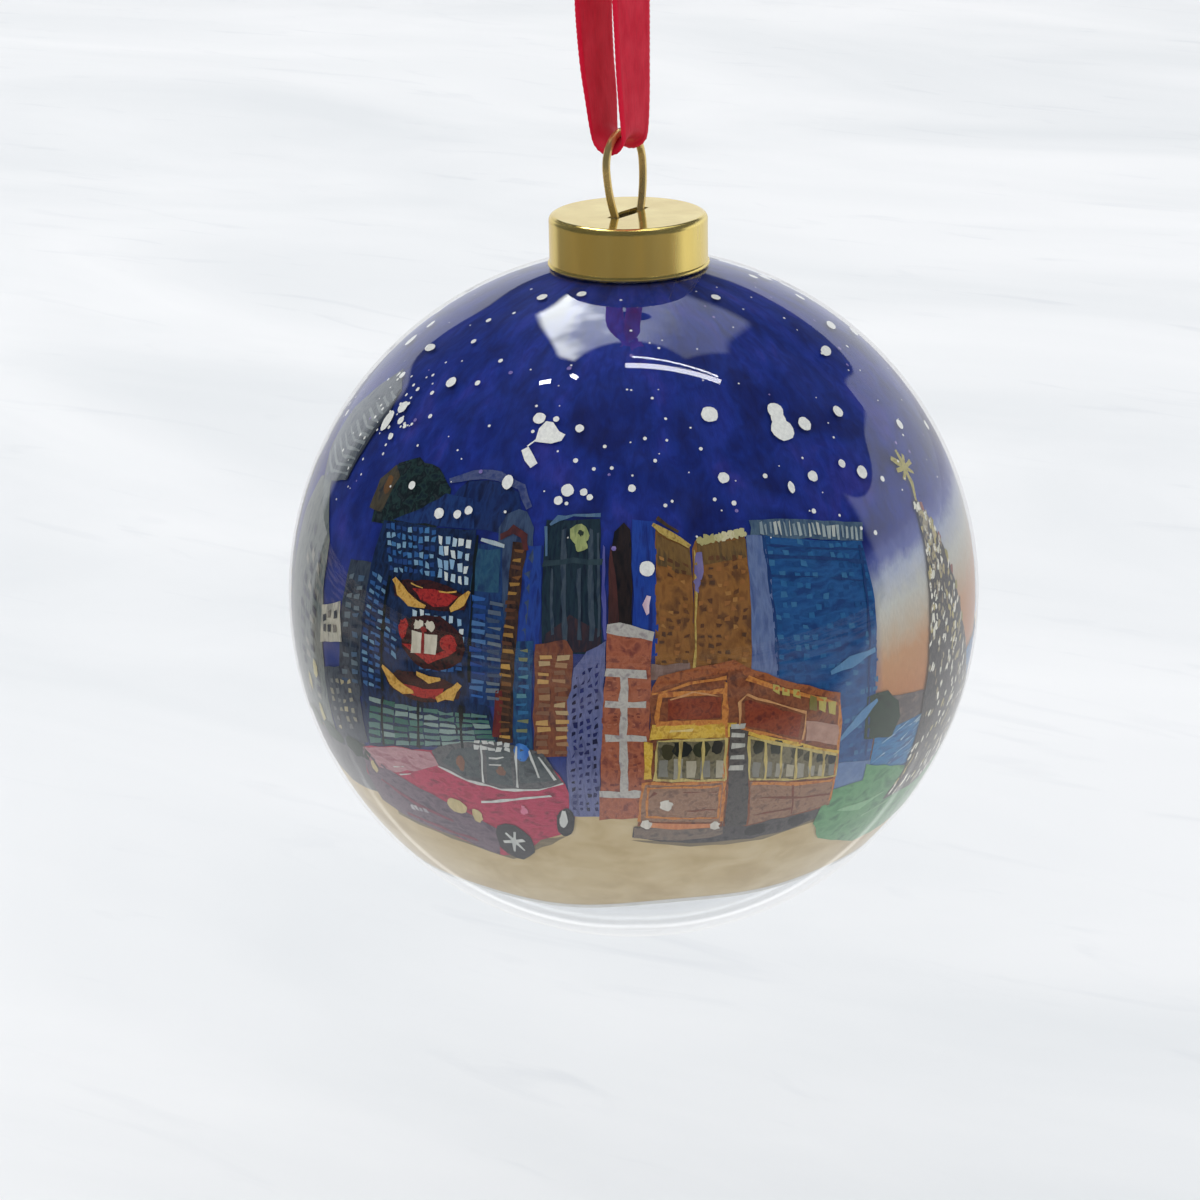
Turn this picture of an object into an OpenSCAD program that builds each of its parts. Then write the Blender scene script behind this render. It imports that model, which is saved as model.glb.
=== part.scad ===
// Hanging glass souvenir bauble, painted on the inside of the glass, with a
// drawn metal cap, a sprung wire hanger and a loop of narrow ribbon.
// Z is up. The origin is the top of the inside of the ribbon loop, just under
// the knot, where a hook or a twig carries the ornament.
// The wire loop lies in the YZ plane and the ribbon runs through it along X.

/* [Glass ball] */
// Outside diameter of the globe
ball_d = 80; // [70:1:100]
// Thickness of the blown glass
glass_t = 0.9; // [0.7:0.1:1.2]
// Outside diameter of the neck
neck_d = 16.6; // [16.2:0.1:16.8]
// Thickness of the coat of paint on the inside of the glass
paint_t = 0.15; // [0.1:0.05:0.3]

/* [Cap] */
// Outside diameter of the cap
cap_d = 17.9; // [17.7:0.1:18.4]
// Height of the cap above the centre of its rolled lip
cap_h = 5.6; // [5.2:0.1:7]
// Thickness of the cap's sheet metal
sheet_t = 0.3; // [0.2:0.05:0.35]
// Length of the slot that the wire comes through
slot_l = 6.8; // [6.6:0.1:7.4]
// Width of the slot at its middle
slot_w = 1.9; // [1.7:0.1:2.4]

/* [Wire hanger] */
// Diameter of the wire
wire_d = 0.9; // [0.7:0.1:0.9]
// Radius of the loop's round top, along the middle of the wire
loop_r = 3.8; // [3.6:0.1:4]
// Height of the loop's top above the cap, to the middle of the wire
loop_h = 9.2; // [8.6:0.1:9.8]
// Half the distance between the legs where they pass the slot
leg_half = 2.7; // [2.6:0.05:2.75]
// How far the loop leans in its slot, in degrees
hanger_lean = 4; // [0:0.5:4.5]

/* [Ribbon] */
// Width of the ribbon
ribbon_w = 6; // [5:0.5:6]
// Thickness of the ribbon
ribbon_t = 0.35; // [0.25:0.05:0.35]
// Length of each loose end above the knot
tail_l = 10; // [6:1:14]

/* [Hidden] */

eps = 0.05;
$fn = 96;

// The middle of the wire at the top of the loop hangs in the ribbon's bight.
apex_z = -35.82;
cap_top_z = apex_z - loop_h * cos(hanger_lean);

// Cap: the rolled lip stands just clear of the glass.
cap_r = cap_d / 2;
cap_edge_r = 0.7;
lip_r = 0.3;
lip_centre_r = cap_r - 0.1;
slot_end_w = 1.3;
lip_gap = 0.05;

// Globe: the lip rests on its shoulder, which sets how far the centre is below the cap.
ball_r = ball_d / 2;
lip_height = sqrt(pow(ball_r + lip_r + lip_gap, 2) - pow(lip_centre_r, 2));
ball_z = cap_top_z - cap_h - lip_height;
inner_r = ball_r - glass_t;
neck_r = neck_d / 2;
neck_wall = 1.2;
bore_r = neck_r - neck_wall;
neck_top_z = cap_top_z - sheet_t - eps;

// Paint: heights of the painted bands, as fractions of the inner radius.
street_low = -0.67;
street_high = -0.34;
skyline_high = 0.5;
paint_top = sqrt(1 - pow((bore_r + 0.6) / inner_r, 2));

// Wire: the straight and bent stretches of one leg, in the plane of the loop.
// u runs outward from the middle of the loop and v upward from the cap's top.
loop_centre_v = loop_h - loop_r;
narrowing = loop_r - leg_half;
leg_r = (pow(loop_centre_v, 2) + pow(narrowing, 2)) / (2 * narrowing);
leg_angle = asin(loop_centre_v / leg_r);
bend_r = 2.5;
flare_angle = 38;
leg_reach = 6.3;
waist_u = leg_half + bend_r * (cos(leg_angle) - cos(flare_angle));
waist_v = -bend_r * (sin(flare_angle) + sin(leg_angle));
flare_u = leg_reach - waist_u - bend_r * (1 - cos(flare_angle));
flare_l = flare_u / sin(flare_angle);
heel_u = waist_u + flare_u;
heel_v = waist_v - flare_l * cos(flare_angle);
shin_v = heel_v - bend_r * sin(flare_angle);
shin_l = 8;
toe_r = 1.2;
toe_angle = 110;
wire_sides = 16;

// Points every few degrees round [u, v], from one angle to another.
function bend(u, v, r, from, to, steps) =
    [for (k = [0:steps - 1]) let (a = from + (to - from) * k / steps) [u + r * cos(a), v + r * sin(a)]];
// The right half of the wire, from the top of the loop down to its toe.
half_wire = concat(
    bend(0, loop_centre_v, loop_r, 90, 0, 16),
    bend(loop_r - leg_r, loop_centre_v, leg_r, 0, -leg_angle, 8),
    bend(leg_half + bend_r * cos(leg_angle), -bend_r * sin(leg_angle), bend_r,
         180 - leg_angle, 180 + flare_angle, 8),
    bend(leg_reach - bend_r, shin_v, bend_r, flare_angle, 0, 6),
    [[leg_reach, shin_v]],
    bend(leg_reach - toe_r, shin_v - shin_l, toe_r, 0, -toe_angle - 1, 8));
wire_path = concat(
    [for (i = [len(half_wire) - 1:-1:1]) [-half_wire[i][0], half_wire[i][1]]], half_wire);

// Faces of a closed skin over a row of rings with the same number of points.
function skin(count, per_ring) = concat(
    [for (i = [0:count - 2], k = [0:per_ring - 1])
        let (n = (k + 1) % per_ring, a = i * per_ring, b = a + per_ring)
        each [[a + k, a + n, b + k], [a + n, b + n, b + k]]],
    [[for (k = [0:per_ring - 1]) per_ring - 1 - k]],
    [[for (k = [0:per_ring - 1]) (count - 1) * per_ring + k]]);

// Ribbon: points along the middle of the ribbon, from the knot down the first
// strand, round the bight under the wire and up the second strand to the knot.
route = [
    [-0.75, 0, -0.1], [-0.9, 0, -1], [-1.7, -0.1, -4], [-2.6, -0.2, -8], [-3.3, -0.3, -12],
    [-3.7, -0.4, -16], [-3.8, -0.5, -20], [-3.8, -0.4, -24], [-3.6, -0.3, -28],
    [-3.3, -0.1, -31.5], [-3.05, 0, -34.6], [-2.8, 0, -35.6], [-2.1, 0, -36.3],
    [-1.1, 0, -36.55], [0, 0, -36.35], [0.8, 0, -35.75], [1.1, 0, -34.8],
    [1.1, -0.1, -31.5], [1.1, -0.3, -28], [1.1, -0.4, -24], [1.1, -0.5, -20],
    [1.2, -0.4, -16], [1.3, -0.3, -12], [1.4, -0.2, -8], [1.2, -0.1, -4],
    [0.8, 0, -1], [0.68, 0, -0.1]
];
// Turn of the ribbon's width about the vertical, and radius of its hollow, at each height.
bight_z = -36.55;
hollow_r = 2.5;
flat_above = 12;
twist_rate = 0.6;
section_steps = 5;
ring_parts = 2;

knot_w = 7;
knot_h = 6;
tail_angle = 24;

function unit(v) = v / norm(v);

// A point between route[i] and route[i + 1] on a smooth curve through the route.
function clamp_i(i) = min(max(i, 0), len(route) - 1);
function smooth(i, t) =
    let (a = route[clamp_i(i - 1)], b = route[i], c = route[clamp_i(i + 1)], d = route[clamp_i(i + 2)])
    0.5 * (2 * b + (c - a) * t + (2 * a - 5 * b + 4 * c - d) * t * t
           + (3 * b - a - 3 * c + d) * t * t * t);

path = concat(
    [for (i = [0:len(route) - 2], k = [0:ring_parts - 1]) smooth(i, k / ring_parts)],
    [route[len(route) - 1]]);
last = len(path) - 1;

// The ribbon's direction, its width and its face at ring i.
function along(i) = unit(path[min(i + 1, last)] - path[max(i - 1, 0)]);
function rise(i) = path[i][2] - bight_z;
function twist(i) = twist_rate * min(rise(i), 16);
function across(i) = unit(cross(cross(along(i), [sin(twist(i)), cos(twist(i)), 0]), along(i)));
function face(i) = cross(along(i), across(i));
// Hollow of the ribbon: 1 where it bears on the wire, easing to 0 in the flat strands.
function hollow(i) = pow(max(0, 1 - rise(i) / flat_above), 2);
// Ring i of the ribbon: its upper face from edge to edge, then its lower face back.
function ring(i) =
    let (h = max(hollow(i), 0.02), r = hollow_r / h, half = ribbon_w / 2 / r * 180 / PI)
    [for (side = [1, -1], k = [0:section_steps])
        let (a = side * half * (2 * k / section_steps - 1), rr = r + side * ribbon_t / 2)
        path[i] + across(i) * rr * sin(a) + [0, 0, cos(a) - 1] * r
        + face(i) * side * ribbon_t / 2 * cos(a)];

module glass_ball() {
    color([0.85, 0.92, 0.95, 0.5])
    translate([0, 0, ball_z])
    difference() {
        union() {
            sphere(r = ball_r, $fn = 160);
            cylinder(r = neck_r, h = neck_top_z - ball_z - neck_wall / 2);
            translate([0, 0, neck_top_z - ball_z - neck_wall / 2])
            rotate_extrude()
            translate([neck_r - neck_wall / 2, 0])
            circle(r = neck_wall / 2, $fn = 48);
        }
        sphere(r = inner_r, $fn = 160);
        cylinder(r = bore_r, h = ball_r * 2);
    }
}

// A band of paint on the inner wall, between two heights given as fractions.
module paint_band(low, high) {
    translate([0, 0, ball_z])
    intersection() {
        difference() {
            sphere(r = inner_r, $fn = 160);
            sphere(r = inner_r - paint_t, $fn = 160);
        }
        translate([0, 0, low * inner_r])
        cylinder(r = ball_r, h = (high - low) * inner_r);
    }
}

module sky_paint() {
    color("navy") paint_band(skyline_high, paint_top);
}

module skyline_paint() {
    color("chocolate") paint_band(street_high, skyline_high);
}

module street_paint() {
    color("tan") paint_band(street_low, street_high);
}

// Half the outline of the cap's cup, r from the middle and height from the lip.
module cup_outline(r, h, edge) {
    square([r - edge, h]);
    square([r, h - edge]);
    translate([r - edge, h - edge])
    circle(r = edge, $fn = 48);
}

module metal_cap() {
    color("gold")
    translate([0, 0, cap_top_z - cap_h])
    difference() {
        rotate_extrude()
        union() {
            difference() {
                cup_outline(cap_r, cap_h, cap_edge_r);
                translate([0, -sheet_t])
                cup_outline(cap_r - sheet_t, cap_h, cap_edge_r - sheet_t);
                translate([-1, -1])
                square([1, cap_h + 2]);
            }
            translate([lip_centre_r, 0])
            circle(r = lip_r, $fn = 48);
        }
        translate([0, 0, cap_h - 2 * sheet_t])
        linear_extrude(height = 3 * sheet_t)
        polygon([[slot_end_w / 2, -slot_l / 2], [slot_w / 2, 0], [slot_end_w / 2, slot_l / 2],
                 [-slot_end_w / 2, slot_l / 2], [-slot_w / 2, 0], [-slot_end_w / 2, -slot_l / 2]]);
    }
}

module wire_hanger() {
    count = len(wire_path);
    rings = [for (i = [0:count - 1])
        let (ahead = wire_path[min(i + 1, count - 1)], behind = wire_path[max(i - 1, 0)],
             side = unit([behind[1] - ahead[1], ahead[0] - behind[0]]))
        for (k = [0:wire_sides - 1])
        let (a = 360 * k / wire_sides, out = wire_d / 2 * cos(a))
        [wire_d / 2 * sin(a), wire_path[i][0] + side[0] * out, wire_path[i][1] + side[1] * out]];
    color("goldenrod")
    translate([0, 0, cap_top_z])
    rotate([0, -hanger_lean, 0])
    polyhedron(points = rings, faces = skin(count, wire_sides), convexity = 8);
}

module ribbon() {
    color("crimson")
    polyhedron(points = [for (i = [0:last]) each ring(i)],
               faces = skin(last + 1, 2 * (section_steps + 1)), convexity = 8);
}

// One loose end of the ribbon, leaning away from the knot, with a notched tip.
module tail(lean) {
    rotate([0, lean, 0])
    translate([0, 0, knot_h / 2])
    rotate([90, 0, 90])
    linear_extrude(height = ribbon_t, center = true)
    polygon([[-ribbon_w / 2, 0], [ribbon_w / 2, 0], [ribbon_w / 2, tail_l],
             [0, tail_l - ribbon_w / 2], [-ribbon_w / 2, tail_l]]);
}

module ribbon_knot() {
    color("firebrick")
    translate([0, 0, knot_h / 2])
    union() {
        rotate_extrude($fn = 48)
        intersection() {
            translate([(knot_w - knot_h) / 2, 0])
            circle(d = knot_h, $fn = 48);
            translate([0, -knot_h / 2])
            square([knot_w, knot_h]);
        }
        cylinder(d = knot_w - knot_h + 0.2, h = knot_h, center = true);
        tail(tail_angle);
        tail(-tail_angle);
    }
}

glass_ball();
sky_paint();
skyline_paint();
street_paint();
metal_cap();
wire_hanger();
ribbon();
ribbon_knot();
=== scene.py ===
"""Glass bauble with a night harbour painted inside it, hanging from a ribbon over a pale floor.

The CAD frame has its origin inside the top of the ribbon loop, Z up, in metres. The painting is laid out
in degrees on the inside of the globe: longitude 0 faces the camera and grows to the right, latitude is up.
"""
import math
import random

import bpy
from mathutils import Matrix, Vector
from mathutils.geometry import delaunay_2d_cdt


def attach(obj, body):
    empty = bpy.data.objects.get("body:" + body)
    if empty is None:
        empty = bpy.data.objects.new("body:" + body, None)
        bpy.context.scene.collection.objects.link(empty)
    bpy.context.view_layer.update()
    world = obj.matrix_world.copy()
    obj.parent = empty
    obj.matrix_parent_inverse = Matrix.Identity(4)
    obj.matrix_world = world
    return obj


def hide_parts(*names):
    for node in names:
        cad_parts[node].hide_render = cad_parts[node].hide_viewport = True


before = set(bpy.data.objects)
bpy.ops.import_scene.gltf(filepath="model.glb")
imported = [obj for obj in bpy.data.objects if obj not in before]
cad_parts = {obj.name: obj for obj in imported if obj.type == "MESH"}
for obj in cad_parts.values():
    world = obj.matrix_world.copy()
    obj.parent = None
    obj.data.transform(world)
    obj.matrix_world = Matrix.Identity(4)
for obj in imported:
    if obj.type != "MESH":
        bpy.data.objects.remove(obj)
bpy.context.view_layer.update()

MM = 0.001
CENTRE = Vector((0, 0, -89.966 * MM))
# The camera: degrees around and above the globe's centre, metres from it, and how many millimetres to
# the left of it and below it the camera aims.
VIEW_AZIMUTH = 32
VIEW_ELEVATION = 18.96
VIEW_DISTANCE = 0.4
VIEW_ROLL = 1.0
AIM_LEFT = 3.9
AIM_BELOW = 0.93
LENS = 103
SENSOR = 36
FLOOR_Z = -0.19
GLASS_INDEX = 1.62
PAINT_ROUGHNESS = 0.6
LIGHT_DISTANCE = 2.5


# ---------------------------------------------------------------- camera
def place_camera():
    azimuth, elevation, roll = (math.radians(a) for a in (VIEW_AZIMUTH, VIEW_ELEVATION, VIEW_ROLL))
    toward = Vector((math.sin(azimuth) * math.cos(elevation),
                     -math.cos(azimuth) * math.cos(elevation), math.sin(elevation)))
    right = Vector((math.cos(azimuth), math.sin(azimuth), 0))
    up = toward.cross(right)
    place = CENTRE + toward * VIEW_DISTANCE
    ahead = (CENTRE - right * AIM_LEFT * MM - up * AIM_BELOW * MM - place).normalized()
    level = ahead.cross(Vector((0, 0, 1))).normalized()
    upright = level.cross(ahead)
    side = level * math.cos(roll) - upright * math.sin(roll)
    top = level * math.sin(roll) + upright * math.cos(roll)
    data = bpy.data.cameras.new("camera")
    data.lens = LENS
    data.sensor_width = SENSOR
    data.clip_start = 0.01
    data.clip_end = 50
    camera = bpy.data.objects.new("camera", data)
    bpy.context.collection.objects.link(camera)
    turn = Matrix((side, top, -ahead)).transposed().to_4x4()
    camera.matrix_world = Matrix.Translation(place) @ turn
    bpy.context.scene.camera = camera


# ---------------------------------------------------------------- shader helpers
def shade(red, green, blue):
    """Linear colour, with an alpha of 1, from sRGB values out of 255."""
    parts = [value / 255 for value in (red, green, blue)]
    return [p / 12.92 if p <= 0.04045 else ((p + 0.055) / 1.055) ** 2.4 for p in parts] + [1]


def new_tree(name):
    material = bpy.data.materials.new(name)
    material.use_nodes = True
    material.node_tree.nodes.clear()
    return material, material.node_tree


def node(tree, kind, inputs=None, **settings):
    made = tree.nodes.new(kind)
    for key, value in settings.items():
        setattr(made, key, value)
    for key, value in (inputs or {}).items():
        if isinstance(value, bpy.types.NodeSocket):
            tree.links.new(value, made.inputs[key])
        else:
            made.inputs[key].default_value = value
    return made


def math_node(tree, operation, a, b=0.0):
    return node(tree, "ShaderNodeMath", {0: a, 1: b}, operation=operation).outputs[0]


def times(tree, a, b):
    return math_node(tree, "MULTIPLY", a, b)


def plus(tree, a, b):
    return math_node(tree, "ADD", a, b)


def minus(tree, a, b):
    return math_node(tree, "SUBTRACT", a, b)


def component(tree, vector, direction):
    """How far a vector goes along a direction."""
    return node(tree, "ShaderNodeVectorMath", {0: vector, 1: direction},
                operation="DOT_PRODUCT").outputs["Value"]


def fade(tree, value, start, end):
    """0 to 1, easing in and out, as value goes from start to end."""
    return node(tree, "ShaderNodeMapRange", {"Value": value, "From Min": start, "From Max": end},
                interpolation_type="SMOOTHSTEP").outputs[0]


def scaled(tree, value, start, end, low=0.0, high=1.0):
    """low to high, evenly, as value goes from start to end."""
    return node(tree, "ShaderNodeMapRange",
                {"Value": value, "From Min": start, "From Max": end, "To Min": low,
                 "To Max": high}).outputs[0]


def ramp(tree, factor, stops, interpolation="LINEAR"):
    made = node(tree, "ShaderNodeValToRGB", {"Fac": factor})
    made.color_ramp.interpolation = interpolation
    elements = made.color_ramp.elements
    elements[0].position, elements[0].color = stops[0]
    elements[1].position, elements[1].color = stops[-1]
    for place, colour in stops[1:-1]:
        elements.new(place).color = colour
    return made.outputs["Color"]


def even_stops(colours, low=0.34, high=0.66):
    """Ramp stops at equal steps for two colours or more."""
    gap = (high - low) / (len(colours) - 1)
    return [(low + gap * k, colour) for k, colour in enumerate(colours)]


def mix(tree, factor, a, b, blend_type="MIX"):
    made = node(tree, "ShaderNodeMix", data_type="RGBA", blend_type=blend_type)
    for index, value in ((0, factor), (6, a), (7, b)):
        if isinstance(value, bpy.types.NodeSocket):
            tree.links.new(value, made.inputs[index])
        else:
            made.inputs[index].default_value = value
    return made.outputs[2]


def stretched_noise(tree, source, scale, detail=4, distortion=0.0, offset=(0, 0, 0)):
    """Noise with its own scale along X, Y and Z."""
    place = node(tree, "ShaderNodeMapping", {"Vector": source, "Location": offset, "Scale": scale})
    return node(tree, "ShaderNodeTexNoise",
                {"Vector": place.outputs[0], "Scale": 1, "Detail": detail, "Distortion": distortion}
                ).outputs["Fac"]


def finish_surface(tree, colour, height, roughness, bump, metallic=0.0, **extra):
    """Ends a material: colour and roughness, with height raised by bump."""
    relief = node(tree, "ShaderNodeBump", {"Height": height, "Strength": bump, "Distance": 0.0001})
    inputs = {"Base Color": colour, "Roughness": roughness, "Metallic": metallic,
              "Normal": relief.outputs[0]}
    inputs.update(extra)
    surface = node(tree, "ShaderNodeBsdfPrincipled", inputs)
    node(tree, "ShaderNodeOutputMaterial", {"Surface": surface.outputs[0]})


def finish_paint(tree, colour, fine, mottle, bump=0.25):
    """Lightens and darkens a colour by mottle, following fine, and raises it in the same places."""
    value = node(tree, "ShaderNodeMath", {0: fine, 1: mottle * 2, 2: 1 - mottle}, operation="MULTIPLY_ADD")
    finish_surface(tree, mix(tree, 1.0, colour, value.outputs[0], "MULTIPLY"), fine, PAINT_ROUGHNESS, bump,
                   **{"Specular IOR Level": 0.2})


def paint(name, *colours, stroke=(9, 2.4), mottle=0.22):
    """Brushed paint. stroke gives how many strokes cross 10 degrees of longitude and of latitude."""
    material, tree = new_tree(name)
    source = node(tree, "ShaderNodeUVMap", uv_map="layout").outputs[0]
    seed = sum(ord(letter) for letter in name) % 97
    broad = stretched_noise(tree, source, (stroke[0], stroke[1], 1), 5, 0.4, (seed, seed / 3, 0))
    fine = stretched_noise(tree, source, (stroke[0] * 4, stroke[1] * 3, 1), 3, 0.0, (0, seed, 0))
    colour = ramp(tree, broad, even_stops([shade(*c) for c in colours]))
    finish_paint(tree, colour, fine, mottle)
    return material


def pick(name, *colours, mottle=0.2):
    """Paint that takes one of several colours for each separate dab."""
    material, tree = new_tree(name)
    source = node(tree, "ShaderNodeUVMap", uv_map="layout").outputs[0]
    island = node(tree, "ShaderNodeNewGeometry").outputs["Random Per Island"]
    steps = [(k / len(colours), shade(*c)) for k, c in enumerate(colours)]
    colour = ramp(tree, island, steps, "CONSTANT")
    fine = stretched_noise(tree, source, (22, 14, 1), 3)
    finish_paint(tree, colour, fine, mottle)
    return material


# ---------------------------------------------------------------- painted patches on the globe
# Radius of the lowest coat of paint and the rise of each layer over the one before, in millimetres; the
# radius the layout is drawn for; the largest side of a triangle, in degrees. The sky is layer 0, and what
# is painted in front of something else is on a higher layer, up to 10.
LOWEST_COAT = 39.6
COAT = 0.03
LAYOUT_R = 39.1
STEP = 2.4
rng = random.Random(7)


def way_to(lon, lat):
    """Direction from the globe's centre; longitude 0 faces the camera and grows to the right."""
    turn = math.radians(VIEW_AZIMUTH - 90 + lon)
    rise = math.radians(lat)
    return Vector((math.cos(rise) * math.cos(turn), math.cos(rise) * math.sin(turn), math.sin(rise)))


FRONT = way_to(0, VIEW_ELEVATION)


def drawn_in(way):
    """The layout is drawn for a globe of radius LAYOUT_R, so its front half is drawn in a little."""
    angle = FRONT.angle(way)
    limit = math.radians(80)
    scale = LAYOUT_R / LOWEST_COAT
    if angle < 1e-4:
        return way
    new = math.asin(scale * math.sin(min(angle, limit)))
    if angle > limit:
        new += (math.pi - new) * (angle - limit) / (math.pi - limit)
    side = (way - FRONT * math.cos(angle)).normalized()
    return FRONT * math.cos(new) + side * math.sin(new)


def on_globe(lon, lat, layer, drawn=True):
    radius = (LOWEST_COAT + COAT * layer) * MM
    way = way_to(lon, lat)
    return CENTRE + radius * (drawn_in(way) if drawn else way)


def triangles(outline, wobble):
    """Points and triangles that fill one outline, no larger than STEP degrees."""
    shrink = math.cos(math.radians(sum(p[1] for p in outline) / len(outline)))
    edge = []
    for (a, b), (c, d) in zip(outline, outline[1:] + outline[:1]):
        count = max(1, math.ceil(math.hypot((c - a) * shrink, d - b) / STEP))
        for k in range(count):
            edge.append(((a + (c - a) * k / count) * shrink + rng.gauss(0, wobble),
                         b + (d - b) * k / count + rng.gauss(0, wobble)))
    points = [Vector(p) for p in edge]
    low = [min(p[i] for p in edge) for i in (0, 1)]
    high = [max(p[i] for p in edge) for i in (0, 1)]
    counts = [math.floor((high[i] - low[i]) / STEP) for i in (0, 1)]
    for i in range(counts[0]):
        for j in range(counts[1]):
            points.append(Vector((low[0] + (i + 0.5 + 0.2 * (j % 2)) * STEP, low[1] + (j + 0.5) * STEP)))
    ring = list(range(len(edge)))
    made = delaunay_2d_cdt(points, list(zip(ring, ring[1:] + ring[:1])), [ring], 1, 1e-4)
    return [(p[0] / shrink, p[1]) for p in made[0]], [tuple(f) for f in made[2]]


def build(name, corners, faces, material, body):
    """A named mesh from points in metres, faces and a layout map of (longitude, latitude) / 10."""
    mesh = bpy.data.meshes.new(name)
    mesh.from_pydata([c[0] for c in corners], [], faces)
    layout = mesh.uv_layers.new(name="layout")
    for loop in mesh.loops:
        layout.data[loop.index].uv = corners[loop.vertex_index][1]
    mesh.materials.append(material)
    mesh.polygons.foreach_set("use_smooth", [True] * len(mesh.polygons))
    made = bpy.data.objects.new(name, mesh)
    bpy.context.collection.objects.link(made)
    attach(made, body)
    return made


def painted(name, shapes, layer, material, wobble=0.1):
    """One piece of painting made of filled outlines in degrees, on a layer of the globe."""
    corners, faces = [], []
    for outline in shapes:
        points, cells = triangles(outline, wobble)
        used = sorted({i for cell in cells for i in cell})
        new = {old: len(corners) + k for k, old in enumerate(used)}
        corners += [(on_globe(*points[i], layer), (points[i][0] / 10, points[i][1] / 10)) for i in used]
        faces += [tuple(new[i] for i in cell) for cell in cells]
    made = build(name, corners, faces, material, "ball")
    return made


def coat(name, low, high, layer, material, from_lon=-180, to_lon=180):
    """A coat between two latitudes, each a function of longitude, over a range of longitudes."""
    columns = math.ceil((to_lon - from_lon) / STEP)
    rows = max(math.ceil((high(lon) - low(lon)) / STEP) for lon in range(from_lon, to_lon, 5))
    corners, faces = [], []
    for i in range(columns + 1):
        lon = from_lon + (to_lon - from_lon) * i / columns
        for j in range(rows + 1):
            lat = low(lon) + (high(lon) - low(lon)) * j / rows
            corners.append((on_globe(lon, lat, layer, False), (lon / 10, lat / 10)))
            if i and j:
                here = i * (rows + 1) + j
                faces.append((here - rows - 2, here - 1, here, here - rows - 1))
    made = build(name, corners, faces, material, "ball")
    return made


def box(west, south, east, north):
    """Outline of an upright rectangle."""
    return [(west, south), (east, south), (east, north), (west, north)]


def blob(lon, lat, size, tall=None, lean=0.0, sides=14, rough=0.06):
    """A dab of paint about size degrees across its radius."""
    tall = tall or size
    shrink = math.cos(math.radians(lat))
    out = []
    for k in range(sides):
        a = math.tau * k / sides
        grow = 1 + rng.gauss(0, rough)
        x, y = size * grow * math.cos(a), tall * grow * math.sin(a)
        out.append((lon + (x * math.cos(lean) - y * math.sin(lean)) / shrink,
                    lat + x * math.sin(lean) + y * math.cos(lean)))
    return out


def stroke(points, width, tip=0.5):
    """A brush stroke along points, width degrees wide, narrowing to tip at its ends."""
    shrink = math.cos(math.radians(sum(p[1] for p in points) / len(points)))
    flat = [Vector((lon * shrink, lat)) for lon, lat in points]
    sides = [[], []]
    for k, here in enumerate(flat):
        along = (flat[min(k + 1, len(flat) - 1)] - flat[max(k - 1, 0)]).normalized()
        across = Vector((-along.y, along.x))
        half = width / 2 * (tip if k in (0, len(flat) - 1) else 1)
        sides[0].append(here + across * half)
        sides[1].append(here - across * half)
    return [(p.x / shrink, p.y) for p in sides[1] + sides[0][::-1]]


def within(corners, s, t):
    """The point at (s, t) of a four-cornered patch: s from west to east, t from south to north."""
    (a, b), (c, d), (e, f), (g, h) = corners
    west = (a + (g - a) * t, b + (h - b) * t)
    east = (c + (e - c) * t, d + (f - d) * t)
    return west[0] + (east[0] - west[0]) * s, west[1] + (east[1] - west[1]) * s


def panes(corners, columns, rows, wide=0.6, tall=0.6, skip=0.0, loose=0.12):
    """Rows of small panes over a four-cornered patch. wide and tall are their share of a cell, skip is
    the share left out and loose is how far they stray."""
    out = []
    for i in range(columns):
        for j in range(rows):
            if rng.random() < skip:
                continue
            s = (i + 0.5 + rng.uniform(-loose, loose)) / columns
            t = (j + 0.5 + rng.uniform(-loose, loose)) / rows
            w, h = wide / columns / 2, tall / rows / 2 * rng.uniform(0.8, 1.1)
            out.append([within(corners, s + x * w, t + y * h)
                        for x, y in ((-1, -1), (1, -1), (1, 1), (-1, 1))])
    return out


def frame_lines(corners, width, columns=1, rows=1):
    """Lines round a four-cornered patch and between its columns and rows."""
    lines = [[within(corners, k / columns, t / 4) for t in range(5)] for k in range(columns + 1)]
    lines += [[within(corners, s / 4, k / rows) for s in range(5)] for k in range(rows + 1)]
    return [stroke(line, width, 1.0) for line in lines]


# ---------------------------------------------------------------- stage, lights and camera rays
TURN = math.radians(VIEW_AZIMUTH)
TOWARD_CAMERA = (math.sin(TURN), -math.cos(TURN), 0.0)
BEHIND = (-math.sin(TURN), math.cos(TURN), 0.0)
RIGHTWARD = (math.cos(TURN), math.sin(TURN), 0.0)


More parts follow.
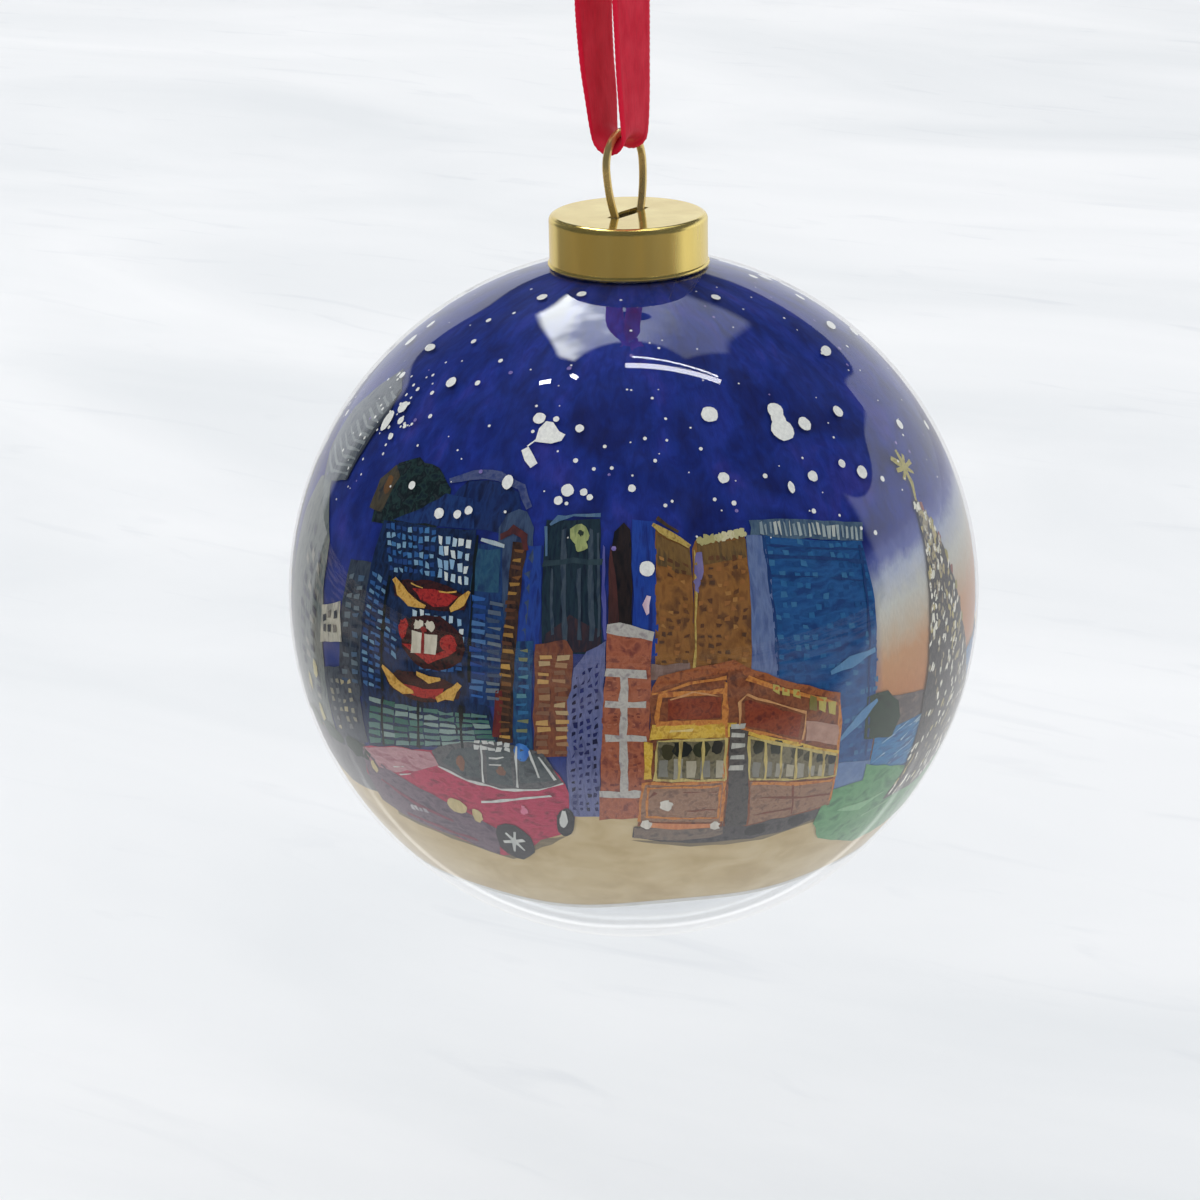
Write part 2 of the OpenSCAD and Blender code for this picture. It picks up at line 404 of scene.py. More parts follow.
def mirrored_table(tree, place):
    """What the glass and the cap mirror of the floor, a painted reflection that the floor shows only to
    glossy
    rays: a pale sheet under the ornament with a bright painted glint line at its back, and dimmer, patchy
    ground beyond its front and left edges."""
    ahead = component(tree, place, TOWARD_CAMERA)
    aside = component(tree, place, RIGHTWARD)
    sheet = ramp(tree, fade(tree, ahead, -0.3, 0.0),
                 [(0.0, (0.8, 0.8, 0.82, 1)), (1.0, (1.0, 1.0, 1.0, 1))])
    shadowy = stretched_noise(tree, place, (7, 7, 1), 1)
    beyond = ramp(tree, shadowy, [(0.42, (0.07, 0.07, 0.06, 1)), (0.56, (0.36, 0.3, 0.24, 1))])
    off_front = fade(tree, ahead, 0.1, 0.16)
    left_edge = minus(tree, ahead, times(tree, aside, 0.72))
    off_left = times(tree, fade(tree, aside, -0.13, -0.26), fade(tree, left_edge, -0.02, 0.02))
    table = mix(tree, off_front, sheet, beyond)
    table = mix(tree, off_left, table, beyond)
    # A thin bright line in the mirrored floor: a painted highlight that the glass shows as a glint arc near
    # its lower rim.
    glint_line = plus(tree, plus(tree, ahead, 0.028), times(tree, math_node(tree, "ABSOLUTE", aside), 0.36))
    from_glint_line = math_node(tree, "ABSOLUTE", glint_line)
    painted_glint = times(tree, fade(tree, from_glint_line, 0.009, 0.001), fade(tree, ahead, -0.085, -0.05))
    return mix(tree, painted_glint, table, [1.7, 1.7, 1.7, 1])


def make_floor():
    """Pale marble. To glossy rays it shows instead the painted reflection that mirrored_table gives, so the
    glass and metal mirror that.
    """
    material, tree = new_tree("pale_marble")
    place = node(tree, "ShaderNodeTexCoord").outputs["Object"]
    cloud = stretched_noise(tree, place, (4, 9, 1), 5, 0.8)
    veins = stretched_noise(tree, place, (14, 60, 1), 6, 1.6)
    base = ramp(tree, cloud, [(0.3, shade(224, 227, 230)), (0.7, shade(240, 241, 243))])
    vein = ramp(tree, veins, [(0.6, (1, 1, 1, 1)), (0.75, (0.93, 0.935, 0.945, 1))])
    relief = node(tree, "ShaderNodeBump", {"Height": cloud, "Strength": 0.05})
    marble = node(tree, "ShaderNodeBsdfPrincipled", {"Base Color": mix(tree, 1.0, base, vein, "MULTIPLY"),
                                                     "Roughness": 0.7, "Normal": relief.outputs[0]})
    table = mirrored_table(tree, place)
    reflected = node(tree, "ShaderNodeEmission", {"Color": table})
    mirrored = node(tree, "ShaderNodeLightPath").outputs["Is Glossy Ray"]
    both = node(tree, "ShaderNodeMixShader", {0: mirrored, 1: marble.outputs[0], 2: reflected.outputs[0]})
    node(tree, "ShaderNodeOutputMaterial", {"Surface": both.outputs[0]})

    mesh = bpy.data.meshes.new("floor")
    sides = 96
    rings = (0.5, 1.5, 4.0)
    points = [(0, 0, FLOOR_Z)]
    points += [(r * math.cos(math.tau * k / sides), r * math.sin(math.tau * k / sides), FLOOR_Z)
               for r in rings for k in range(sides)]
    faces = [(0, 1 + k, 1 + (k + 1) % sides) for k in range(sides)]
    for ring in range(len(rings) - 1):
        a = 1 + ring * sides
        faces += [(a + k, a + sides + k, a + sides + (k + 1) % sides, a + (k + 1) % sides)
                  for k in range(sides)]
    mesh.from_pydata(points, [], faces)
    mesh.materials.append(material)
    floor = bpy.data.objects.new("floor", mesh)
    bpy.context.collection.objects.link(floor)


def light_panel(name, start, end, breadth, power, mirrored=True):
    """A soft light facing the globe. start and end are the azimuth, from the camera's own, and the
    elevation of its two ends, in degrees."""
    ends = []
    for azimuth, elevation in (start, end):
        turn, rise = math.radians(VIEW_AZIMUTH + azimuth), math.radians(elevation)
        ends.append(Vector((math.sin(turn) * math.cos(rise), -math.cos(turn) * math.cos(rise),
                            math.sin(rise))))
    away = (ends[0] + ends[1]).normalized()
    along = (ends[1] - ends[0]).normalized()
    data = bpy.data.lights.new(name, "AREA")
    data.shape = "RECTANGLE"
    data.size = (ends[1] - ends[0]).length * LIGHT_DISTANCE
    data.size_y = breadth
    data.energy = power
    lamp = bpy.data.objects.new(name, data)
    lamp.visible_glossy = mirrored
    turn = Matrix((along, away.cross(along), away)).transposed().to_4x4()
    lamp.matrix_world = Matrix.Translation(CENTRE + away * LIGHT_DISTANCE) @ turn
    bpy.context.collection.objects.link(lamp)


def mirrored_wall(tree, rough_rise, bearing, aside):
    """How bright the pale wall is: it starts further back on the left than on the right."""
    wall_start = scaled(tree, aside, -0.3, 0.3, 0.68, -0.02)
    past_start = minus(tree, bearing, wall_start)
    wall = times(tree, fade(tree, rough_rise, 0.4, 0.38), fade(tree, past_start, -0.02, 0.04))
    return times(tree, wall, scaled(tree, bearing, 0.3, 1.0, 1.1, 0.88))


def mirrored_window(tree, rise, aside, rough_rise, rough_bearing, uneven):
    """Where the high window at the back is, with uneven edges and a dark oval in its middle."""
    window = times(tree, fade(tree, rough_rise, 0.66, 0.7), fade(tree, rise, 0.955, 0.945))
    window = times(tree, window, fade(tree, rough_bearing, 0.62, 0.69))
    rough_aside = plus(tree, aside, times(tree, uneven, 0.5))
    window = times(tree, window, fade(tree, rough_aside, -0.32, -0.29))
    window = times(tree, window, fade(tree, rough_aside, 0.4, 0.36))
    oval = node(tree, "ShaderNodeCombineXYZ", {"X": times(tree, aside, 1 / 0.085),
                                               "Y": times(tree, minus(tree, rise, 0.86), 1 / 0.025)})
    from_oval = node(tree, "ShaderNodeVectorMath", {0: oval.outputs[0]},
                     operation="LENGTH").outputs["Value"]
    return times(tree, window, fade(tree, from_oval, 0.85, 1.0))


def make_world():
    """A pale, even room. Mirrored in the glass and metal it is dark in front and overhead, with a pale wall
    beside and behind and a window high at the back."""
    world = bpy.data.worlds.new("room")
    bpy.context.scene.world = world
    world.use_nodes = True
    tree = world.node_tree
    tree.nodes.clear()
    way = node(tree, "ShaderNodeTexCoord").outputs["Generated"]
    rise = node(tree, "ShaderNodeSeparateXYZ", {"Vector": way}).outputs[2]
    # Of a mirrored direction, rise is the sine of its elevation, aside is 1 at the camera's right and
    # bearing is 1 for level directions straight back, -1 for those toward the camera.
    aside = component(tree, way, RIGHTWARD)
    level = math_node(tree, "SQRT", minus(tree, 1.0, math_node(tree, "POWER", rise, 2.0)))
    bearing = math_node(tree, "DIVIDE", component(tree, way, BEHIND), level)
    patch = stretched_noise(tree, way, (3.4, 3.4, 4.2), 3)
    wave = stretched_noise(tree, way, (3.2, 3.2, 3.2), 0)
    uneven = times(tree, minus(tree, wave, 0.5), 0.3)
    rough_rise = plus(tree, rise, uneven)
    rough_bearing = plus(tree, bearing, uneven)

    wall = mirrored_wall(tree, rough_rise, bearing, aside)
    window = mirrored_window(tree, rise, aside, rough_rise, rough_bearing, uneven)
    dark = ramp(tree, patch, [(0.4, (0.012, 0.016, 0.03, 1)), (0.62, (0.06, 0.07, 0.1, 1))])
    streaks = plus(tree, times(tree, patch, 0.7), times(tree, aside, -0.9))
    panes_light = ramp(tree, streaks, [(0.15, (1.0, 1.05, 1.1, 1)), (0.36, (2.2, 2.35, 2.35, 1)),
                                       (0.47, (3.2, 3.4, 3.4, 1)), (0.56, (8.5, 8.8, 8.4, 1))])
    room = mix(tree, 1.0, dark, mix(tree, 1.0, [0.95, 0.97, 1.0, 1], wall, "MULTIPLY"), "ADD")
    room = mix(tree, window, room, panes_light)
    mirrored = node(tree, "ShaderNodeLightPath").outputs["Is Glossy Ray"]
    colour = mix(tree, mirrored, [0.85, 0.855, 0.86, 1], room)
    background = node(tree, "ShaderNodeBackground", {"Color": colour, "Strength": 1.0})
    node(tree, "ShaderNodeOutputWorld", {"Surface": background.outputs[0]})


# ---------------------------------------------------------------- glass, cap and wire
def glass_material():
    """Thin clear glass: it lets light straight through and mirrors more at a grazing angle. The inner
    wall is greyer near its outline, as a thick rim is."""
    material, tree = new_tree("clear_glass")
    inward = node(tree, "ShaderNodeNewGeometry").outputs["Backfacing"]
    index = scaled(tree, inward, 0, 1, GLASS_INDEX, 1 / GLASS_INDEX)
    place = node(tree, "ShaderNodeTexCoord").outputs["Object"]
    ripple = stretched_noise(tree, place, (30, 30, 30), 0)
    relief = node(tree, "ShaderNodeBump", {"Height": ripple, "Strength": 0.05, "Distance": 0.001})
    share = node(tree, "ShaderNodeFresnel", {"IOR": index})
    mirror = node(tree, "ShaderNodeBsdfGlossy", {"Color": (1, 1, 1, 1), "Roughness": 0.012,
                                                 "Normal": relief.outputs[0]})
    tint = ramp(tree, ripple, [(0.3, (0.93, 0.94, 0.945, 1)), (0.7, (0.95, 0.955, 0.96, 1))])
    depth = node(tree, "ShaderNodeVectorMath", {0: place, 1: CENTRE}, operation="DISTANCE").outputs["Value"]
    edge = node(tree, "ShaderNodeLayerWeight", {"Blend": 0.35}).outputs["Facing"]
    rim = times(tree, fade(tree, depth, 39.4 * MM, 39.2 * MM), fade(tree, edge, 0.6, 0.95))
    tint = mix(tree, rim, tint, [0.62, 0.65, 0.69, 1])
    clear = node(tree, "ShaderNodeBsdfTransparent", {"Color": tint})
    both = node(tree, "ShaderNodeMixShader", {0: share.outputs[0], 1: clear.outputs[0],
                                              2: mirror.outputs[0]})
    node(tree, "ShaderNodeOutputMaterial", {"Surface": both.outputs[0]})
    return material


def metal(name, light, dark, roughness, grain, bump, metallic):
    """Bright metal with drawn grain; grain is the noise's scale along X, Y and Z. Level faces are
    smoother."""
    material, tree = new_tree(name)
    place = node(tree, "ShaderNodeTexCoord").outputs["Object"]
    marks = stretched_noise(tree, place, grain, 4)
    colour = ramp(tree, marks, [(0.3, shade(*dark)), (0.7, shade(*light))])
    upward = node(tree, "ShaderNodeSeparateXYZ",
                  {"Vector": node(tree, "ShaderNodeNewGeometry").outputs["Normal"]})
    flat = fade(tree, upward.outputs[2], 0.8, 0.95)
    rough = scaled(tree, marks, 0, 1, roughness * 0.8, roughness * 1.3)
    rough = times(tree, rough, scaled(tree, flat, 0, 1, 1.0, 0.4))
    finish_surface(tree, colour, marks, rough, bump, metallic)
    return material


def dress(name, material):
    part = bpy.data.objects[name]
    part.data.materials.clear()
    part.data.materials.append(material)


# ---------------------------------------------------------------- ribbon and knot
# Middle line of the ribbon in millimetres: down from the knot, through the hanger and up again.
ROUTE = [
    (-0.3, 0, 1.6), (-0.6, 0, 0.3), (-0.9, 0, -1), (-1.7, -0.1, -4), (-2.6, -0.2, -8), (-3.3, -0.3, -12),
    (-3.7, -0.4, -16), (-3.8, -0.5, -20), (-3.8, -0.4, -24), (-3.6, -0.3, -28),
    (-3.3, -0.1, -31.5), (-3.05, 0, -34.6), (-2.8, 0, -35.6), (-2.1, 0, -36.3),
    (-1.1, 0, -36.55), (0, 0, -36.35), (0.8, 0, -35.75), (1.1, 0, -34.8),
    (1.1, -0.1, -31.5), (1.1, -0.3, -28), (1.1, -0.4, -24), (1.1, -0.5, -20),
    (1.2, -0.4, -16), (1.3, -0.3, -12), (1.4, -0.2, -8), (1.2, -0.1, -4),
    (0.85, 0, -1), (0.6, 0, 0.3), (0.3, 0, 1.6)]
BIGHT_Z = -36.55
# The ribbon is rolled to HOLLOW_R where it passes through the hanger and flat from FLAT_ABOVE millimetres
# over its lowest point. It turns by TWIST degrees per millimetre over the first TWISTED millimetres, and
# loses GATHER of its width over the last GATHER_LENGTH millimetres, from the height GATHER_FROM up.
HOLLOW_R = 2.5
FLAT_ABOVE = 12
TWIST = 0.6
TWISTED = 16
GATHER = 0.42
GATHER_FROM = -2.4
GATHER_LENGTH = 3.2
RIBBON_W = 6.0
RIBBON_T = 0.35
RING_GAP = 0.3
NEARLY_FLAT = 0.02


def smooth_route(points, gap):
    """Points at equal steps of about gap along a Catmull-Rom curve."""
    fine = []
    last = len(points) - 1
    steps = 40
    for i in range(last):
        a, b, c, d = (Vector(points[min(max(k, 0), last)]) for k in (i - 1, i, i + 1, i + 2))
        for k in range(steps):
            t = k / steps
            fine.append(0.5 * (2 * b + (c - a) * t + (2 * a - 5 * b + 4 * c - d) * t * t
                               + (3 * b - a - 3 * c + d) * t * t * t))
    fine.append(Vector(points[-1]))
    out = [fine[0]]
    run = 0.0
    for here, there in zip(fine, fine[1:]):
        run += (there - here).length
        if run >= gap:
            out.append(there)
            run = 0.0
    out.append(fine[-1])
    return out


def satin(name, body, edge, sheen):
    """Woven satin. The layout map runs across the ribbon from 0 to 1 and along it in millimetres / 6."""
    material, tree = new_tree(name)
    source = node(tree, "ShaderNodeUVMap", uv_map="layout").outputs[0]
    parts = node(tree, "ShaderNodeSeparateXYZ", {"Vector": source})
    from_middle = math_node(tree, "ABSOLUTE", minus(tree, parts.outputs[0], 0.5))
    selvedge = scaled(tree, from_middle, 0.41, 0.44)
    threads = stretched_noise(tree, source, (70, 3, 1), 3)
    weft = node(tree, "ShaderNodeTexWave", {"Vector": source, "Scale": 9.0, "Distortion": 0.4},
                wave_type="BANDS", bands_direction="Y").outputs["Fac"]
    sheen_patches = stretched_noise(tree, source, (3, 1.2, 1), 3)
    # Broad patches of the lighter sheen colour in the base colour: a painted sheen.
    cloth = ramp(tree, sheen_patches, [(0.3, shade(*body)), (0.72, shade(*sheen))])
    cloth = mix(tree, 0.3, cloth, ramp(tree, threads, [(0.35, (0.45, 0.45, 0.45, 1)), (0.6, (1, 1, 1, 1))]),
                "MULTIPLY")
    colour = mix(tree, selvedge, cloth, shade(*edge))
    height = plus(tree, times(tree, weft, selvedge), threads)
    finish_surface(tree, colour, height, 0.5, 0.5,
                   **{"Sheen Weight": 0.15, "Sheen Roughness": 0.35, "Sheen Tint": shade(*sheen),
                      "Specular IOR Level": 0.2, "Anisotropic": 0.5})
    return material


def band_mesh(name, path, frames, width, material, hollow=lambda i: NEARLY_FLAT):
    """A ribbon along path, in millimetres. frames gives each ring's across and face directions, and
    hollow how far it is rolled, from 0 to 1. Its edges are a little ragged, with a thick selvedge."""
    steps = 16
    ragged = 0.05
    corners, faces = [], []
    count = len(path)
    ring_size = 2 * (steps + 1)
    run = 0.0
    for i, here in enumerate(path):
        run += (here - path[i - 1]).length if i else 0.0
        across, face = frames(i)
        radius = HOLLOW_R / max(hollow(i), NEARLY_FLAT)
        edge_shift = ragged * (1 if i % 2 else -0.4)
        for side in (1, -1):
            for k in range(steps + 1):
                s = side * (2 * k / steps - 1)
                angle = s * (width / 2 + (edge_shift if abs(s) == 1 else 0)) / radius
                rolled = 1.35 if 0.84 < abs(s) < 0.97 else (0.55 if abs(s) == 1 else 1.0)
                lift = side * RIBBON_T / 2 * rolled
                point = (here + across * (radius + lift) * math.sin(angle)
                         + Vector((0, 0, math.cos(angle) - 1)) * radius + face * lift * math.cos(angle))
                corners.append((point * MM, ((s + 1) / 2, run / 6)))
    for i in range(count - 1):
        a, b = i * ring_size, (i + 1) * ring_size
        for k in range(ring_size):
            n = (k + 1) % ring_size
            faces.append((a + k, a + n, b + n, b + k))
    faces.append(tuple(range(ring_size))[::-1])
    faces.append(tuple((count - 1) * ring_size + k for k in range(ring_size)))
    made = build(name, corners, faces, material, "ribbon_loop")
    return made


def across_and_face(path, i, degrees):
    """Directions across the ribbon and out of its face at a point of path, turned about upright."""
    along = (path[min(i + 1, len(path) - 1)] - path[max(i - 1, 0)]).normalized()
    turn = math.radians(degrees)
    level = Vector((math.sin(turn), math.cos(turn), 0))
    across = along.cross(level).cross(along).normalized()
    return across, along.cross(across)


def make_ribbon(material):
    """The ribbon's loop, returned with the points that its middle follows, in metres."""
    path = smooth_route(ROUTE, RING_GAP)

    def rise(i):
        return path[i].z - BIGHT_Z

    def frames(i):
        across, face = across_and_face(path, i, TWIST * min(rise(i), TWISTED))
        near_knot = min(max((path[i].z - GATHER_FROM) / GATHER_LENGTH, 0), 1)
        return across * (1 - GATHER * near_knot ** 2), face

    ribbon = band_mesh("ribbon_loop_band", path, frames, RIBBON_W, material,
                       lambda i: max(0, 1 - rise(i) / FLAT_ABOVE) ** 2)
    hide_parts("ribbon")
    return ribbon, [p * MM for p in path]


# A wrap's section in millimetres as (outward, upward), half its height, the radius that it runs round at
# and its stretch along X, Y and Z; then a tail's width and the degrees that it turns.
WRAP_SECTION = [(0.0, -2.3), (0.55, -1.9), (0.35, -1.0), (0.75, 0.0), (0.4, 1.0), (0.6, 1.9), (0.0, 2.3),
                (-0.4, 1.6), (-0.4, 0.0), (-0.4, -1.6)]
WRAP_HALF = 2.3
WRAP_RADIUS = 2.25
WRAP_SHAPE = (0.92, 1.05, 0.8)
TAIL_W = 5.6
TAIL_TURN = 26


def make_knot(material):
    """An overhand knot: two crossing wraps of folded ribbon round the strands, and two notched tails."""
    pieces = []
    for name, tilt, turn, height in (("knot_wrap_front", 20, 0, 2.6), ("knot_wrap_back", -20, 90, 3.5)):
        count = 60
        corners, faces = [], []
        lean = Matrix.Rotation(math.radians(tilt), 3, "X") @ Matrix.Rotation(math.radians(turn), 3, "Z")
        for i in range(count):
            a = math.tau * i / count
            pinch = 1 + 0.12 * math.sin(3 * a + turn)
            for out, up in WRAP_SECTION:
                wide = WRAP_RADIUS + out
                ring = (wide * math.cos(a), wide * math.sin(a), up * pinch)
                point = lean @ Vector([length * k for length, k in zip(ring, WRAP_SHAPE)])
                across = (up + WRAP_HALF) / (2 * WRAP_HALF)
                corners.append(((point + Vector((0, 0, height))) * MM, (across, i / 4)))
        sides = len(WRAP_SECTION)
        for i in range(count):
            a, b = i * sides, (i + 1) % count * sides
            faces += [(a + k, b + k, b + (k + 1) % sides, a + (k + 1) % sides) for k in range(sides)]
        made = build(name, corners, faces, material, "ribbon_loop")
        pieces.append(made)
    for name, sign in (("tail_left", -1), ("tail_right", 1)):
        path = [Vector((sign * (0.5 + 0.42 * k * 0.9 + 0.5 * math.sin(k / 2)), 0.3 * math.sin(k / 3),
                        3.6 + 0.93 * k)) for k in range(11)]
        path = smooth_route(path, RING_GAP)

        def frames(i):
            return across_and_face(path, i, sign * TAIL_TURN * i / (len(path) - 1))

        tail = band_mesh(name, path, frames, TAIL_W, material)
        notch(tail, path, frames)
        pieces.append(tail)
    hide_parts("ribbon_knot")
    return pieces


def notch(tail, path, frames):
    """Draws the middle of a tail's end back, so that its tip is forked, and flattens its foot."""
    notch_depth = 2.6
    notch_reach = 4
    foot_length = 3.2
    foot_share = 0.35
    end = path[-1] * MM
    across = frames(len(path) - 1)[0]
    along = (path[-1] - path[-3]).normalized()
    for vertex in tail.data.vertices:
        gap = (vertex.co - end).dot(along) / MM
        middle = 1 - min(1, abs((vertex.co - end).dot(across)) / (TAIL_W / 2 * MM))
        if gap > -notch_reach:
            vertex.co -= along * middle * notch_depth * MM * (1 + gap / notch_reach)
    foot = path[0] * MM
    for vertex in tail.data.vertices:
        climb = min(1, (vertex.co.z - foot.z) / (foot_length * MM))
        if climb < 1:
            vertex.co.y *= foot_share + (1 - foot_share) * max(climb, 0)


# ---------------------------------------------------------------- the painting: sky and ground
def paint_sky():
    """Night sky in streaky ultramarine and violet, with a dusk glow over the harbour."""
    material, tree = new_tree("night_sky")
    source = node(tree, "ShaderNodeUVMap", uv_map="layout").outputs[0]
    parts = node(tree, "ShaderNodeSeparateXYZ", {"Vector": source})
    east, up = parts.outputs[0], parts.outputs[1]
    cloud = stretched_noise(tree, source, (0.9, 0.8, 1), 4, 0.6, (3, 0, 0))
    streak = stretched_noise(tree, source, (4, 3, 1), 6, 0.8)
    fine = stretched_noise(tree, source, (34, 8, 1), 3)
    night = ramp(tree, cloud, [(0.34, shade(8, 30, 108)), (0.46, shade(12, 42, 130)),
                               (0.58, shade(24, 48, 144)), (0.74, shade(54, 54, 150))])
    night = mix(tree, 0.55, night, ramp(tree, streak, [(0.35, shade(150, 150, 185)), (0.62, (1, 1, 1, 1))]),
                "MULTIPLY")
    height = scaled(tree, up, 0.6, 2.2)
    night = mix(tree, height, shade(46, 62, 128), night)

    shift = times(tree, minus(tree, east, 4.3), 0.12)
    soft = times(tree, minus(tree, streak, 0.5), 0.35)
    level = minus(tree, plus(tree, up, soft), shift)
    glow = scaled(tree, level, -1.2, 2.2)
    dusk = ramp(tree, glow,
                [(0.2, shade(186, 124, 76)), (0.4, shade(192, 142, 98)), (0.52, shade(190, 172, 148)),
                 (0.66, shade(190, 190, 182)), (0.8, shade(162, 170, 190)), (0.88, shade(84, 96, 160)),
                 (0.98, shade(40, 52, 132))])
    near = scaled(tree, east, 3.9, 4.3)
    far = scaled(tree, east, 13.0, 11.0)
    below = scaled(tree, glow, 1.0, 0.92)
    share = times(tree, times(tree, near, far), below)
    colour = mix(tree, share, night, dusk)
    finish_paint(tree, colour, fine, 0.2, 0.2)
    whole = coat("sky_coat", lambda lon: -24, lambda lon: 78.4, 0, material)
    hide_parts("sky_paint")


def ground_edge(lon):
    """Latitude of the painting's wavy lower edge."""
    return -42 + 1.1 * math.sin(math.radians(lon * 3)) + 0.7 * math.sin(math.radians(lon * 8 + 40))


def paint_ground():
    """Beige ground below the street, its pale broken edge and the shadows on it."""
    beige = paint("ground_beige", (184, 160, 114), (196, 174, 130), (204, 184, 144), stroke=(1.2, 2.2),
                  mottle=0.05)
    street = coat("ground_coat", ground_edge, lambda lon: -14.5, 1, beige)
    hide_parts("street_paint")
    pale = paint("ground_rim_pale", (206, 204, 200), (222, 220, 214), stroke=(3, 9), mottle=0.08)
    coat("ground_rim", lambda lon: ground_edge(lon) - 0.9, lambda lon: ground_edge(lon) + 0.35, 2, pale)
    shadow = paint("ground_shadow", (110, 98, 78), (134, 120, 94), stroke=(1, 8), mottle=0.1)
    painted("tram_shadow", [[(-1, -24.4), (9.4, -26.5), (23, -26.9), (35.4, -25), (34, -23), (8, -24.5)]],
            2, shadow)
    painted("car_shadow",
            [[(-50, -27.6), (-34, -29.4), (-24, -31.4), (-17, -27), (-12, -24), (-22, -26), (-48, -24)]], 2,
            shadow)


# Dabs of spattered white paint: longitude, latitude and radius in degrees, and a height where it is not
# round.
SPATTER = [(-50, 71.4, 0.9), (-29.4, 74.3, 0.8), (-59.8, 62.8, 0.5), (-52.5, 66, 0.3),
           (-71.2, 53.4, 1.6, 0.8), (-55.3, 58, 0.5), (-70.8, 47.1, 0.7), (-39.4, 55.8, 0.4),
           (-50.1, 49.7, 1.0), (-41.7, 50.8, 0.5), (-59.5, 46.5, 0.4), (-62.3, 46.8, 0.3),
           (-53.6, 46.9, 0.4), (-60, 42.8, 1.1), (-62.2, 39.7, 1.1, 1.9), (-57.6, 40.7, 0.7),
           (-55.1, 40.1, 0.4), (-57.6, 37.7, 0.6), (-49.3, 43.1, 0.4), (-21, 46.2, 1.0), (-17, 46.3, 0.5),
           (-11.3, 44.9, 0.7), (-21.6, 43.8, 0.3), (-11.2, 39.4, 0.4), (-3.9, 38.3, 0.3), (-5.5, 41.9, 0.3),
           (-7.4, 38.1, 0.3), (-12.1, 34.5, 1.0), (-9, 34.3, 0.6), (-7.8, 33.5, 0.5), (-13.6, 32.8, 0.7),
           (-12, 32.4, 0.3), (-24.1, 35, 0.9, 1.2), (-45, 31.6, 0.7), (-36.6, 28.4, 0.9),
           (-32.7, 28.8, 0.7), (-30.6, 29.7, 0.7), (2.9, 43.2, 0.3), (0, 35, 0.6), (4.7, 39.4, 0.3),
           (47.5, 70.8, 0.8), (83.9, 54.7, 1.8, 0.9), (96.5, 49.4, 1.8, 0.9), (64.8, 52.6, 1.7, 0.9),
           (18.1, 46.7, 1.4), (34.3, 45.6, 1.4), (33.7, 42.2, 2.0), (34, 44, 1.3, 1.6), (39.9, 42.3, 1.2),
           (50.9, 42.6, 1.0), (44.2, 34.4, 0.7), (17.7, 35.8, 0.9), (26.1, 35.2, 0.4), (36.2, 33.7, 0.9),
           (30.8, 32.7, 0.55, 1.0), (48.3, 32.1, 1.1), (52.9, 29.9, 0.5), (68.9, 35.9, 0.9),
           (83.9, 31.6, 0.9), (14.3, 40.9, 0.3), (15.2, 32.5, 0.3), (6, 32.1, 0.3), (18.7, 31.6, 0.4),
           (33.9, 28.3, 0.4), (76.9, 50.8, 0.3), (45.4, 38.8, 0.2), (35.5, 36.9, 0.2), (2.3, 22.4, 1.2),
           (46, 22.4, 0.4), (43, 23.8, 0.3)]


def paint_snow():
    """Spattered white paint: the large dabs by place, then small ones at random all round."""
    white = paint("snow_white", (226, 226, 222), (244, 244, 238), stroke=(14, 14), mottle=0.06)
    flecks = [blob(lon, lat, size, *tall, lean=rng.uniform(-0.2, 0.2), rough=0.03)
              for lon, lat, size, *tall in SPATTER]
    flecks.append([(-20.5, 42.1), (-20.4, 44.4), (-19.2, 45.8), (-17.5, 45.7), (-15.7, 44.2), (-14.2, 43.7),
                   (-14.8, 42.6), (-16.9, 42)])
    flecks.append(stroke([(-22.3, 40.8), (-20.9, 39.3), (-19.5, 38.1)], 1.6, 0.8))
    flecks.append(stroke([(-20.4, 42.4), (-21.9, 41.2)], 0.3, 0.8))
    for _ in range(150):
        lat = math.degrees(math.asin(rng.uniform(0.4, 0.96)))
        flecks.append(blob(rng.uniform(-180, 180), lat, rng.choice((0.12, 0.15, 0.18, 0.24)), sides=8))
    for _ in range(70):
        lat = math.degrees(math.asin(rng.uniform(0.42, 0.94)))
        flecks.append(blob(rng.uniform(85, 275), lat, rng.uniform(0.5, 1.3), sides=12, rough=0.05))
    for _ in range(40):
        flecks.append(blob(rng.gauss(-60, 6), rng.gauss(40, 5), rng.uniform(0.14, 0.35), sides=8))
    painted("snow_spatter", flecks, 10, white, wobble=0.0)
    pink = paint("snow_pink", (110, 100, 170), (150, 132, 190), stroke=(14, 14), mottle=0.08)
    painted("snow_faint",
            [blob(rng.uniform(-180, 180), math.degrees(math.asin(rng.uniform(0.4, 0.95))),
                  rng.uniform(0.15, 0.4), sides=8) for _ in range(60)], 9, pink, wobble=0.0)
    painted("snow_stroke", [stroke([(2.4, 18.2), (2, 16.8), (2.2, 15.4)], 0.9, 0.6)], 10,
            paint("stroke_pink", (200, 170, 185), (226, 206, 214), mottle=0.08))


